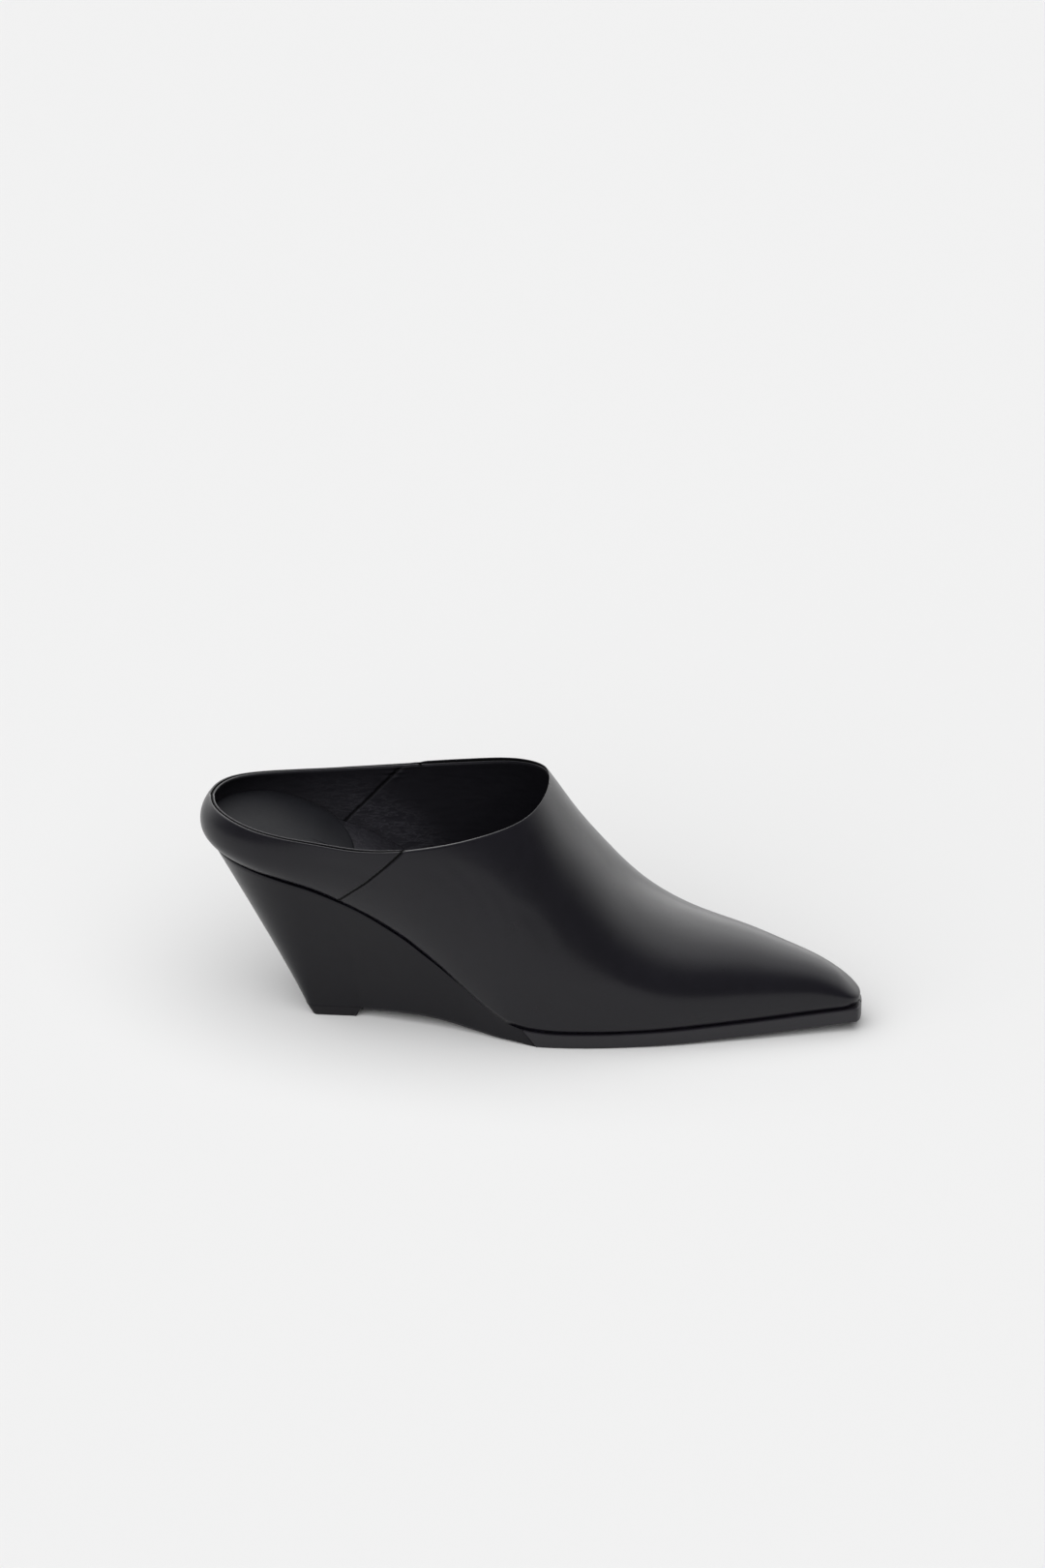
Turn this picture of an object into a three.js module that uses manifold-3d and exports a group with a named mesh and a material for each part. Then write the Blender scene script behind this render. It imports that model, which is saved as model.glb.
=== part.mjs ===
// A left wedge mule in smooth black leather: a closed pointed vamp with a squared-off tip, a low
// heel band, a leather-covered wedge that leans in to a small base, and a thin forepart sole.
// Millimetres. +X runs to the toe, +Y to the outer side of the foot, +Z up, the floor is Z = 0.
// The origin lies on the floor, in the middle of the top piece that the wedge stands on.
// Sizes along the shoe are measured from the back of the heel and moved to the origin at the end.

import * as THREE from "three";
import { mergeVertices } from "three/addons/utils/BufferGeometryUtils.js";
import Module from "manifold-3d";

// Driving sizes of the whole shoe.
const shoeLength = 255; // back of the heel seat to the squared toe
const ballWidth = 77.7; // the sole across the ball
const seatHeight = 68; // floor to the top of the wedge at the back
const bandHeight = 16.3; // heel band above the wedge, at the back
const throatLift = 10.4; // front of the opening above its back
const throatAlong = 133.2; // back of the heel to the front of the opening
const toeSpring = 4; // the sole's tip above the floor

// Thicknesses and clearances.
const upperWall = 1.9;
const soleThickness = 5.9;
const shankThickness = 1.5; // the sole where it runs on under the wedge
const topPieceThickness = 4;
const insoleThickness = 3.4;
const heelPadThickness = 3.2; // at its back
const heelPadFront = 1.6; // its thickness at its front end
const joinGap = 0.3; // between pieces that meet on curved faces
const featherMargin = 0.9; // the upper's bottom edge lies this far inside the sole's edge
const insoleClearance = 0.4; // round the insole, inside the upper
const shankMargin = 1.6; // the sole's edge inside the wedge's lower edge

// The heel, the toe and the wedge's base.
const heelRound = 38; // length of the rounded back of the plan outline
const seatBack = 2.6; // the wedge's top edge, inside the back of the heel band
const toeCorner = 2.2; // rounding of the sole's two toe corners
const upperToeRound = 6; // rounding of the upper's toe, in plan
const upperToeInset = 1.2; // the upper's toe inside the sole's squared end
const wedgeTopInset = 0.8; // the wedge's top edge inside the heel band's, at the back
const baseBack = 39.1; // back of the top piece's top face, from the back of the heel
const baseLength = 23;
const baseHalfWidth = 20.4;
const baseRound = 5; // depth of the top piece's rounded back
const baseSquareness = 3; // of its back corners: 2 is an ellipse, more is squarer
const baseBackLean = 2.4; // its back, front and sides lean in by this much down to the floor
const baseFrontLean = 1.9;
const baseSideLean = 0.5;
const toeSquareness = 2.6; // of the toe corners in plan, the same way
const wedgeFront = 126; // where the wedge's top edge runs out against the sole
const wedgeSlant = 5; // its lower edge runs out this much further forward
const besideBase = 0.22; // share of the wedge's straight top edge that lies beside its base
const heelPadLength = 58;
const heelPadMargin = 0.5; // round the heel pad, inside the insole's edge

const wedgeToe = wedgeFront + wedgeSlant;
const wedgeBreast = baseBack + baseLength; // front of the base

// The middle of the top piece's underside is the origin.
const restBack = baseBack + baseBackLean;
const restLength = baseLength - baseBackLean - baseFrontLean;
const originAlong = restBack + restLength / 2;

// Plan outline of the sole and of the wedge's top. along: share of shoeLength.
// centre and half: middle line and half width, shares of ballWidth. The tip swings inwards.
const outlineSections = [
  { along: 0.0, centre: 0.0, half: 0.377 },
  { along: 0.157, centre: 0.0, half: 0.377 },
  { along: 0.251, centre: 0.003, half: 0.394 },
  { along: 0.329, centre: 0.01, half: 0.407 },
  { along: 0.412, centre: 0.013, half: 0.435 },
  { along: 0.471, centre: 0.003, half: 0.475 },
  { along: 0.529, centre: 0.002, half: 0.5 },
  { along: 0.588, centre: 0.005, half: 0.499 },
  { along: 0.651, centre: 0.004, half: 0.475 },
  { along: 0.722, centre: -0.017, half: 0.416 },
  { along: 0.788, centre: -0.039, half: 0.343 },
  { along: 0.859, centre: -0.066, half: 0.259 },
  { along: 0.929, centre: -0.094, half: 0.171 },
  { along: 1.0, centre: -0.125, half: 0.082 },
];

// Side view. seat: the line where the upper meets wedge and sole, as a share of the way from the
// sole's top up to seatHeight. spring: the sole's rise towards the toe, share of toeSpring.
const seatSections = [
  { along: 0.0, seat: 1.0 },
  { along: 0.055, seat: 0.974 },
  { along: 0.1, seat: 0.943 },
  { along: 0.129, seat: 0.917 },
  { along: 0.165, seat: 0.876 },
  { along: 0.192, seat: 0.836 },
  { along: 0.235, seat: 0.762 },
  { along: 0.26, seat: 0.707 },
  { along: 0.286, seat: 0.639 },
  { along: 0.314, seat: 0.56 },
  { along: 0.338, seat: 0.478 },
  { along: 0.365, seat: 0.386 },
  { along: 0.39, seat: 0.296 },
  { along: 0.414, seat: 0.211 },
  { along: 0.443, seat: 0.118 },
  { along: 0.475, seat: 0.044 },
  { along: 0.51, seat: 0.008 },
  { along: 0.549, seat: 0.0 },
  { along: 1.0, seat: 0.0 },
];
const springSections = [
  { along: 0.0, spring: 0.0 },
  { along: 0.608, spring: 0.0 },
  { along: 0.69, spring: 0.1 },
  { along: 0.784, spring: 0.32 },
  { along: 0.9, spring: 0.67 },
  { along: 1.0, spring: 1.0 },
];

// Top edge of the opening in side view, as a share of throatLift above the back of the band, on
// the foot's inner and outer side. along: share of throatAlong.
const collarSections = [
  { along: -0.05, inner: 0.0, outer: 0.0 },
  { along: 0.04, inner: -0.02, outer: -0.06 },
  { along: 0.08, inner: -0.06, outer: -0.15 },
  { along: 0.15, inner: -0.17, outer: -0.31 },
  { along: 0.23, inner: -0.22, outer: -0.38 },
  { along: 0.3, inner: -0.26, outer: -0.4 },
  { along: 0.38, inner: -0.28, outer: -0.39 },
  { along: 0.46, inner: -0.27, outer: -0.35 },
  { along: 0.53, inner: -0.23, outer: -0.28 },
  { along: 0.6, inner: -0.17, outer: -0.19 },
  { along: 0.68, inner: -0.05, outer: -0.05 },
  { along: 0.76, inner: 0.12, outer: 0.12 },
  { along: 0.83, inner: 0.32, outer: 0.32 },
  { along: 0.9, inner: 0.54, outer: 0.54 },
  { along: 0.95, inner: 0.7, outer: 0.7 },
  { along: 0.98, inner: 0.85, outer: 0.85 },
  { along: 1.0, inner: 1.0, outer: 1.0 },
];

// The last that the upper is shaped on. along: share of shoeLength. crown: height of its ridge,
// share of the throat's height (behind the throat it is the part of the last that the opening
// cuts off). bulge: how far the wall's widest line stands out past its bottom edge, share of
// ballWidth. widest: that line's height, share of the way from the bottom edge to the ridge.
// fullness: 2 is an ellipse above the widest line, more is squarer.
const lastSections = [
  { along: 0.0, crown: 1.041, bulge: 0.054, widest: 0.25, fullness: 2.0 },
  { along: 0.1, crown: 1.061, bulge: 0.046, widest: 0.28, fullness: 2.0 },
  { along: 0.176, crown: 1.122, bulge: 0.046, widest: 0.34, fullness: 2.0 },
  { along: 0.255, crown: 1.223, bulge: 0.067, widest: 0.4, fullness: 2.0 },
  { along: 0.333, crown: 1.294, bulge: 0.087, widest: 0.37, fullness: 2.0 },
  { along: 0.412, crown: 1.266, bulge: 0.078, widest: 0.35, fullness: 2.0 },
  { along: 0.471, crown: 1.165, bulge: 0.059, widest: 0.32, fullness: 2.0 },
  { along: 0.522, crown: 1.0, bulge: 0.045, widest: 0.3, fullness: 2.0 },
  { along: 0.557, crown: 0.851, bulge: 0.041, widest: 0.3, fullness: 2.0 },
  { along: 0.596, crown: 0.708, bulge: 0.036, widest: 0.32, fullness: 2.0 },
  { along: 0.647, crown: 0.546, bulge: 0.032, widest: 0.33, fullness: 2.05 },
  { along: 0.706, crown: 0.435, bulge: 0.03, widest: 0.33, fullness: 2.1 },
  { along: 0.765, crown: 0.384, bulge: 0.027, widest: 0.31, fullness: 2.15 },
  { along: 0.824, crown: 0.353, bulge: 0.024, widest: 0.3, fullness: 2.2 },
  { along: 0.882, crown: 0.311, bulge: 0.021, widest: 0.33, fullness: 2.2 },
  { along: 0.941, crown: 0.259, bulge: 0.02, widest: 0.38, fullness: 2.2 },
  { along: 1.0, crown: 0.168, bulge: 0.02, widest: 0.45, fullness: 2.2 },
];
const lowerWallPower = 2.4; // how quickly the wall turns upright above its bottom edge
const ridgeBack = 0.17; // the sections fan out behind this share of the length
const ridgeFront = 0.96; // and in front of this one
const ridgeBlend = 0.03; // share of the length over which a fan begins
const throatBlend = 0.15; // share of the length over which the crown settles at the opening

// Underside of the wedge, from the front of the top piece to the wedge's lower tip.
// along: share of that stretch. arch: height, share of topPieceThickness. half: half width,
// share of ballWidth, and centre: its middle line, the same.
const archSections = [
  { along: 0.0, arch: 1.07, half: 0.263, centre: 0.0 },
  { along: 0.1, arch: 1.22, half: 0.281, centre: 0.0 },
  { along: 0.25, arch: 1.36, half: 0.312, centre: 0.001 },
  { along: 0.35, arch: 1.38, half: 0.333, centre: 0.002 },
  { along: 0.5, arch: 1.16, half: 0.366, centre: 0.004 },
  { along: 0.65, arch: 0.75, half: 0.402, centre: 0.004 },
  { along: 0.8, arch: 0.47, half: 0.446, centre: 0.002 },
  { along: 1.0, arch: 0.2, half: 0.494, centre: 0.002 },
];

// Numbers of steps in the meshes.
const heelSteps = 9;
const openSteps = 18; // beside the opening, closer together towards its front
const vampSteps = 17; // in front of it
const toeSteps = 6;
const lowerRows = 4;
const upperRows = 11;
const baseSteps = 5;
const archSteps = 16;
const shankSteps = 14;
const shankEdgeSteps = 12;
const soleSteps = 20;
const soleEdgeSteps = 22;
const insoleSteps = 44;
const insoleEdgeSteps = 26;
const padSteps = 24;
const padFrontSteps = 8;
const topRowHold = 5; // how long the rows near the opening's front keep to the full height
const halvings = 50; // of the stretch in which a point is looked for
const weldDistance = 1e-3; // points nearer than this are one point
const fineWeldDistance = 1e-4;

const wasm = await Module();
wasm.setup();

// A smooth curve through the rows of a table that never swings past their values
// (a monotone cubic). y names the column.
function curveThrough(rows, y) {
  const slopes = rows.slice(1).map((row, i) => (row[y] - rows[i][y]) / (row.along - rows[i].along));
  const tangents = rows.map((row, i) => {
    if (i === 0) return slopes[0];
    if (i === rows.length - 1) return slopes[i - 1];
    const before = slopes[i - 1];
    const after = slopes[i];
    return before * after <= 0 ? 0 : (2 * before * after) / (before + after);
  });
  return (at) => {
    const last = rows.length - 1;
    const clamped = Math.min(Math.max(at, rows[0].along), rows[last].along);
    const i = Math.min(Math.max(rows.findIndex((row) => row.along >= clamped) - 1, 0), last - 1);
    const span = rows[i + 1].along - rows[i].along;
    const t = (clamped - rows[i].along) / span;
    const start = rows[i][y] * (1 + 2 * t) * (1 - t) ** 2 + tangents[i] * span * t * (1 - t) ** 2;
    const end = rows[i + 1][y] * (3 - 2 * t) * t ** 2 + tangents[i + 1] * span * t ** 2 * (t - 1);
    return start + end;
  };
}

// A curve through the rows of a table whose bend changes evenly (a natural cubic spline).
function evenCurveThrough(rows, y) {
  const last = rows.length - 1;
  const step = (i) => rows[i + 1].along - rows[i].along;
  const slope = (i) => (rows[i + 1][y] - rows[i][y]) / step(i);
  const factors = [0];
  const rests = [0];
  for (let i = 1; i < last; i++) {
    const before = i === 1 ? 0 : step(i - 1);
    const pivot = 2 * (step(i - 1) + step(i)) - before * factors[i - 1];
    factors.push(step(i) / pivot);
    rests.push((6 * (slope(i) - slope(i - 1)) - before * rests[i - 1]) / pivot);
  }
  const bends = new Array(last + 1).fill(0);
  for (let i = last - 1; i > 0; i--) bends[i] = rests[i] - factors[i] * bends[i + 1];
  return (at) => {
    const clamped = Math.min(Math.max(at, rows[0].along), rows[last].along);
    const i = Math.min(Math.max(rows.findIndex((row) => row.along >= clamped) - 1, 0), last - 1);
    const b = (clamped - rows[i].along) / step(i);
    const a = 1 - b;
    const bow = ((a ** 3 - a) * bends[i] + (b ** 3 - b) * bends[i + 1]) * (step(i) ** 2 / 6);
    return a * rows[i][y] + b * rows[i + 1][y] + bow;
  };
}

const outlineCentre = evenCurveThrough(outlineSections, "centre");
const outlineHalf = evenCurveThrough(outlineSections, "half");
const seatShare = curveThrough(seatSections, "seat");
const springShare = curveThrough(springSections, "spring");
const innerCollarShare = evenCurveThrough(collarSections, "inner");
const outerCollarShare = evenCurveThrough(collarSections, "outer");
const crownShare = evenCurveThrough(lastSections, "crown");
const bulgeShare = evenCurveThrough(lastSections, "bulge");
const widestShare = evenCurveThrough(lastSections, "widest");
const fullnessAt = evenCurveThrough(lastSections, "fullness");
const archShare = curveThrough(archSections, "arch");
const archHalf = curveThrough(archSections, "half");
const archCentre = curveThrough(archSections, "centre");

// The same curves as lengths, by distance x from the back of the heel.
const centreLine = (x) => ballWidth * outlineCentre(x / shoeLength);
const halfWidth = (x) => ballWidth * outlineHalf(x / shoeLength);
const soleBottom = (x) => toeSpring * springShare(x / shoeLength);
const seatLine = (x) =>
  soleBottom(x) + soleThickness + (seatHeight - soleThickness) * seatShare(x / shoeLength);
const collarBack = seatHeight + bandHeight;
const throatHeight = collarBack + throatLift;
const collarLine = (x, side) => {
  const share = side > 0 ? outerCollarShare : innerCollarShare;
  return collarBack + throatLift * share(x / throatAlong);
};
const crownLine = (x) => throatHeight * crownShare(x / shoeLength) * throatScale(x);

// The crown passes exactly through the front of the opening, wherever that is set.
function throatScale(x) {
  const there = crownShare(throatAlong / shoeLength);
  const near = Math.exp(-(((x - throatAlong) / (throatBlend * shoeLength)) ** 2));
  return 1 + (1 / there - 1) * near;
}

// The ridge point that each wall leans towards: straight across in the middle of the shoe, and
// one fan of directions round the heel and another round the toe.
function ridgeAlong(x) {
  const back = ridgeBack * shoeLength;
  const front = ridgeFront * shoeLength;
  const blend = ridgeBlend * shoeLength;
  const fromBack = (x + back + Math.hypot(x - back, blend)) / 2;
  return (fromBack + front - Math.hypot(fromBack - front, blend)) / 2;
}

// Stations along one side of a plan outline, from the middle of the heel to the middle of the
// toe. x: distance from the back; spread: how much of the half width the rounded ends leave.
function planStations(length, toeRound, middle) {
  const stations = [];
  for (let i = 0; i < heelSteps; i++) {
    const turn = (i / heelSteps) * (Math.PI / 2);
    const x = seatBack + (heelRound - seatBack) * (1 - Math.cos(turn));
    stations.push({ x, spread: Math.sin(turn) });
  }
  for (const x of middle) stations.push({ x, spread: 1 });
  for (let i = 0; i <= toeSteps; i++) {
    const turn = (i / toeSteps) * (Math.PI / 2);
    const power = 2 / toeSquareness;
    const spread = i === toeSteps ? 0 : Math.cos(turn) ** power;
    stations.push({ x: length - toeRound * (1 - Math.sin(turn) ** power), spread });
  }
  return stations;
}

// Evenly spaced values from a, up to but without b.
const steps = (a, b, count) => Array.from({ length: count }, (_, i) => a + ((b - a) * i) / count);

// The distance from the back at which the wall leans towards the front of the opening.
function throatStation() {
  let low = 0;
  let high = shoeLength;
  for (let i = 0; i < halvings; i++) {
    const middle = (low + high) / 2;
    if (ridgeAlong(middle) < throatAlong) low = middle;
    else high = middle;
  }
  return (low + high) / 2;
}

// The upper's stations: one of them is exactly the front of the opening.
function upperStations() {
  const throat = throatStation();
  const toeStart = shoeLength - upperToeRound;
  const open = steps(0, Math.PI / 2, openSteps).map(
    (turn) => heelRound + (throat - heelRound) * Math.sin(turn),
  );
  const middle = [...open, ...steps(throat, toeStart, vampSteps)];
  const stations = planStations(shoeLength, upperToeRound, middle);
  return { stations, throatIndex: heelSteps + openSteps };
}

// One wall of the last, from its bottom edge up to the opening or the ridge, as a list of
// points. side: +1 outer, -1 inner. inset: 0 for the outside, the wall for the inside.
function wallColumn(station, side, inset, topAngle, open) {
  const pulledIn = featherMargin + inset;
  const toe = shoeLength - upperToeInset - pulledIn;
  const x = pulledIn + (station.x / shoeLength) * (toe - pulledIn);
  const y = centreLine(station.x) + side * (halfWidth(station.x) - pulledIn) * station.spread;
  const ridgeX = ridgeAlong(station.x);
  const ridgeY = centreLine(ridgeX);
  const reach = Math.hypot(x - ridgeX, y - ridgeY);
  const bulge = ballWidth * bulgeShare(station.x / shoeLength);
  const wideX = x + ((x - ridgeX) / reach) * bulge;
  const wideY = y + ((y - ridgeY) / reach) * bulge;
  const bottom = seatLine(x) + joinGap;
  const widest = bottom + (crownLine(wideX) - bottom) * widestShare(station.x / shoeLength);
  const fullness = fullnessAt(station.x / shoeLength);
  const onWall = (angle) => {
    const across = Math.cos(angle) ** (2 / fullness);
    const up = Math.sin(angle) ** (2 / fullness);
    const along = ridgeX + (wideX - ridgeX) * across;
    const height = widest + (crownLine(along) - inset - widest) * up;
    return new THREE.Vector3(along, ridgeY + (wideY - ridgeY) * across, height);
  };
  if (open) {
    // The angle at which this wall reaches the opening's edge.
    let low = 0;
    let high = Math.PI / 2;
    for (let i = 0; i < halvings; i++) {
      const middle = (low + high) / 2;
      const point = onWall(middle);
      if (point.x < throatAlong && point.z < collarLine(point.x, side)) low = middle;
      else high = middle;
    }
    topAngle = low;
  }
  const points = [];
  const foot = new THREE.Vector3(x, y, bottom);
  for (let row = 0; row < lowerRows; row++) {
    const up = row / lowerRows;
    const out = 1 - (1 - up) ** lowerWallPower;
    const reached = new THREE.Vector3((wideX - x) * out, (wideY - y) * out, (widest - bottom) * up);
    points.push(reached.add(foot));
  }
  // Near the front of the opening only the top rows bend down to its edge.
  const quarter = Math.PI / 2;
  const hold = 1 + topRowHold * Math.max((topAngle - 1) / (quarter - 1), 0);
  for (let row = 0; row <= upperRows; row++) {
    const share = row / upperRows;
    const angle = quarter * share + (topAngle - quarter) * share ** hold;
    const point = onWall(angle);
    if (angle >= Math.PI / 2 - 1e-9) point.set(ridgeX, ridgeY, crownLine(ridgeX) - inset);
    points.push(point);
  }
  return { points, topAngle };
}

// A geometry from a list of triangles, each three points, with its doubles merged.
function closedGeometry(triangles) {
  const positions = new Float32Array(triangles.flatMap((t) => t.flatMap((p) => [p.x, p.y, p.z])));
  const loose = new THREE.BufferGeometry();
  loose.setAttribute("position", new THREE.BufferAttribute(positions, 3));
  const merged = mergeVertices(loose, weldDistance);
  const index = merged.index.array;
  const kept = [];
  for (let i = 0; i < index.length; i += 3) {
    const [a, b, c] = [index[i], index[i + 1], index[i + 2]];
    if (a !== b && b !== c && c !== a) kept.push(a, b, c);
  }
  merged.setIndex(kept);
  return merged;
}

// Two triangles between two neighbouring pairs of points.
function addQuad(triangles, a, b, c, d) {
  triangles.push([a, b, c], [a, c, d]);
}

// The upper: one leather wall, open at the collar and underneath.
function upperGeometry() {
  const { stations, throatIndex } = upperStations();
  const walls = { outside: [], inside: [] };
  for (const side of [1, -1]) {
    const order = side > 0 ? stations.map((_, i) => i) : stations.map((_, i) => i).reverse();
    for (const i of order) {
      const isDouble = side < 0 && (i === 0 || i === stations.length - 1);
      if (isDouble) continue;
      const outer = wallColumn(stations[i], side, 0, Math.PI / 2, i < throatIndex);
      const inner = wallColumn(stations[i], side, upperWall, outer.topAngle, false);
      walls.outside.push({ points: outer.points, open: i < throatIndex });
      walls.inside.push({ points: inner.points });
    }
  }
  const triangles = [];
  const columns = walls.outside.length;
  const top = lowerRows + upperRows;
  for (let c = 0; c < columns; c++) {
    const next = (c + 1) % columns;
    const [outA, outB] = [walls.outside[c].points, walls.outside[next].points];
    const [inA, inB] = [walls.inside[c].points, walls.inside[next].points];
    for (let row = 0; row < top; row++) {
      addQuad(triangles, outA[row], outA[row + 1], outB[row + 1], outB[row]);
      addQuad(triangles, inA[row], inB[row], inB[row + 1], inA[row + 1]);
    }
    addQuad(triangles, outA[0], outB[0], inB[0], inA[0]);
    if (walls.outside[c].open || walls.outside[next].open) {
      addQuad(triangles, outA[top], inA[top], inB[top], outB[top]);
    }
  }
  return closedGeometry(triangles);
}

// The wedge's underside by distance from the back: height, half width and middle line.
const alongArch = (x) => (x - wedgeBreast) / (wedgeToe - wedgeBreast);
function wedgeBottom(x) {
  const share = alongArch(x);
  return share <= 0 ? topPieceThickness + joinGap : topPieceThickness * archShare(share);
}
const wedgeLowHalf = (x) => ballWidth * archHalf(alongArch(x));
const wedgeLowCentre = (x) => ballWidth * archCentre(alongArch(x));

// A closed body between an upper and a lower edge, both drawn as rows of two points, one on
// each side of the shoe, from its back to its front.
function bodyBetween(rows, topPoint, lowPoint) {
  const triangles = [];
  for (let i = 0; i + 1 < rows.length; i++) {
    const [a, b] = [rows[i], rows[i + 1]];
    addQuad(triangles, lowPoint(a, 1), topPoint(a, 1), topPoint(b, 1), lowPoint(b, 1));
    addQuad(triangles, topPoint(a, -1), lowPoint(a, -1), lowPoint(b, -1), topPoint(b, -1));
    addQuad(triangles, topPoint(a, 1), topPoint(a, -1), topPoint(b, -1), topPoint(b, 1));
    addQuad(triangles, lowPoint(a, -1), lowPoint(a, 1), lowPoint(b, 1), lowPoint(b, -1));
  }
  const end = rows[rows.length - 1];
  addQuad(triangles, lowPoint(end, -1), lowPoint(end, 1), topPoint(end, 1), topPoint(end, -1));
  return closedGeometry(triangles);
}

// One point of the rounded back of the wedge's base: distance along and half width.
function baseCorner(turn) {
  const power = 2 / baseSquareness;
  return [
    baseBack + baseRound * (1 - Math.cos(turn) ** power),
    baseHalfWidth * Math.sin(turn) ** power,
  ];
}

// The wedge: straight-sided between its top edge, under the upper, and its lower edge.
function wedgeGeometry() {
  const topBack = seatBack + wedgeTopInset;
  const rows = [];
  for (let i = 0; i < heelSteps; i++) {
    const turn = (i / heelSteps) * (Math.PI / 2);
    const [lowX, lowHalf] = baseCorner(turn);
    rows.push({
      topX: topBack + (heelRound - topBack) * (1 - Math.cos(turn)),
      topSpread: Math.sin(turn),
      lowX,
      lowHalf,
      lowCentre: 0,
    });
  }
  // Beside the top piece the wall's lower edge runs straight, and then along the arch.
  const topAtBreast = heelRound + besideBase * (wedgeFront - heelRound);
  for (let i = 0; i < baseSteps; i++) {
    const share = i / baseSteps;
    rows.push({
      topX: heelRound + share * (topAtBreast - heelRound),
      topSpread: 1,
      lowX: baseBack + baseRound + share * (baseLength - baseRound),
      lowHalf: baseHalfWidth + share * (wedgeLowHalf(wedgeBreast) - baseHalfWidth),
      lowCentre: 0,
    });
  }
  for (let i = 0; i <= archSteps; i++) {
    const share = i / archSteps;
    const lowX = wedgeBreast + share * (wedgeToe - wedgeBreast);
    rows.push({
      topX: topAtBreast + share * (wedgeFront - topAtBreast),
      topSpread: 1,
      lowX,
      lowHalf: wedgeLowHalf(lowX),
      lowCentre: wedgeLowCentre(lowX),
    });
  }
  const topPoint = (row, side) =>
    new THREE.Vector3(
      row.topX,
      centreLine(row.topX) + side * halfWidth(row.topX) * row.topSpread,
      seatLine(row.topX),
    );
  const lowPoint = (row, side) =>
    new THREE.Vector3(row.lowX, row.lowCentre + side * row.lowHalf, wedgeBottom(row.lowX));
  return bodyBetween(rows, topPoint, lowPoint);
}

// A solid that can be cut, from a geometry.
function solidFrom(geometry) {
  const bare = geometry.clone();
  bare.deleteAttribute("normal");
  bare.deleteAttribute("uv");
  const merged = mergeVertices(bare, fineWeldDistance);
  return new wasm.Manifold(
    new wasm.Mesh({
      numProp: 3,
      vertProperties: new Float32Array(merged.attributes.position.array),
      triVerts: new Uint32Array(merged.index.array),
    }),
  );
}

// A geometry from such a solid.
function geometryFrom(solid) {
  const mesh = solid.getMesh();
  const geometry = new THREE.BufferGeometry();
  geometry.setAttribute("position", new THREE.BufferAttribute(mesh.vertProperties, 3));
  geometry.setIndex(new THREE.BufferAttribute(mesh.triVerts, 1));
  return geometry;
}

// A piece whose thickness follows a side view and whose edge follows a plan outline: the part
// that two extrusions share. side: points [x, z]; plan: points [x, y].
function sideByPlan(side, plan) {
  const reach = 2 * ballWidth;
  const tall = 2 * (seatHeight + bandHeight);
  const across = extruded(side, reach).rotateX(Math.PI / 2).translate(0, reach / 2, 0);
  const upright = extruded(plan, tall).translate(0, 0, -tall / 4);
  return geometryFrom(solidFrom(across).intersect(solidFrom(upright)));
}

function extruded(points, depth) {
  const shape = new THREE.Shape(points.map(([a, b]) => new THREE.Vector2(a, b)));
  return new THREE.ExtrudeGeometry(shape, { depth, bevelEnabled: false });
}

// A whole plan outline, drawn in by an inset, as points [x, y].
function planOutline(stations, inset, toe) {
  const point = (station, side) => [
    inset + (station.x / shoeLength) * (toe - 2 * inset),
    centreLine(station.x) + side * (halfWidth(station.x) - inset) * station.spread,
  ];
  const outer = stations.map((station) => point(station, 1));
  const inner = stations.slice(1, -1).map((station) => point(station, -1));
  return [...inner, ...outer.reverse()];
}

// The sole: a slab under the forepart, and a thin tongue that runs back under the wedge.
function soleGeometry() {
  const topFront = wedgeFront + joinGap;
  const lowFront = wedgeToe + joinGap;
  const shankTop = (x) => wedgeBottom(x) - joinGap;
  const shankBottom = (x) => Math.max(shankTop(x) - shankThickness, 0);
  const shankAlong = steps(wedgeBreast + joinGap, wedgeToe, shankSteps);
  const foreAlong = [...steps(lowFront, shoeLength, soleSteps), shoeLength + toeCorner];
  const side = [
    ...shankAlong.map((x) => [x, shankBottom(x)]),
    ...foreAlong.map((x) => [x, soleBottom(x)]),
    ...foreAlong.slice(1).reverse().map((x) => [x, seatLine(x)]),
    [topFront, seatLine(topFront)],
    [lowFront, shankTop(wedgeToe)],
    ...shankAlong.slice().reverse().map((x) => [x, shankTop(x)]),
  ];
  const toeStart = shoeLength - toeCorner;
  const stations = planStations(shoeLength, toeCorner, steps(lowFront, toeStart, soleEdgeSteps));
  const root = { x: wedgeFront, spread: 1 };
  const forepart = [root, ...stations.slice(heelSteps)];
  const foreEdge = ({ x, spread }, sign) => [x, centreLine(x) + sign * halfWidth(x) * spread];
  const shank = steps(wedgeBreast, wedgeFront, shankEdgeSteps);
  const shankEdge = (x, sign) => [x, wedgeLowCentre(x) + sign * (wedgeLowHalf(x) - shankMargin)];
  const plan = [
    ...shank.map((x) => shankEdge(x, -1)),
    ...forepart.map((station) => foreEdge(station, -1)),
    ...forepart.slice(0, -1).reverse().map((station) => foreEdge(station, 1)),
    ...shank.slice().reverse().map((x) => shankEdge(x, 1)),
  ];
  return sideByPlan(side, plan);
}

// The insole fills the upper's bottom from heel to toe.
const insoleInset = featherMargin + upperWall + insoleClearance;
function insoleGeometry() {
  const middle = steps(heelRound, shoeLength - upperToeRound, insoleEdgeSteps);
  const stations = planStations(shoeLength, upperToeRound, middle);
  const along = [...steps(0, shoeLength, insoleSteps), shoeLength];
  const side = [
    ...along.map((x) => [x, seatLine(x) + joinGap]),
    ...along.slice().reverse().map((x) => [x, seatLine(x) + joinGap + insoleThickness]),
  ];
  return sideByPlan(side, planOutline(stations, insoleInset, shoeLength - upperToeInset));
}

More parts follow.
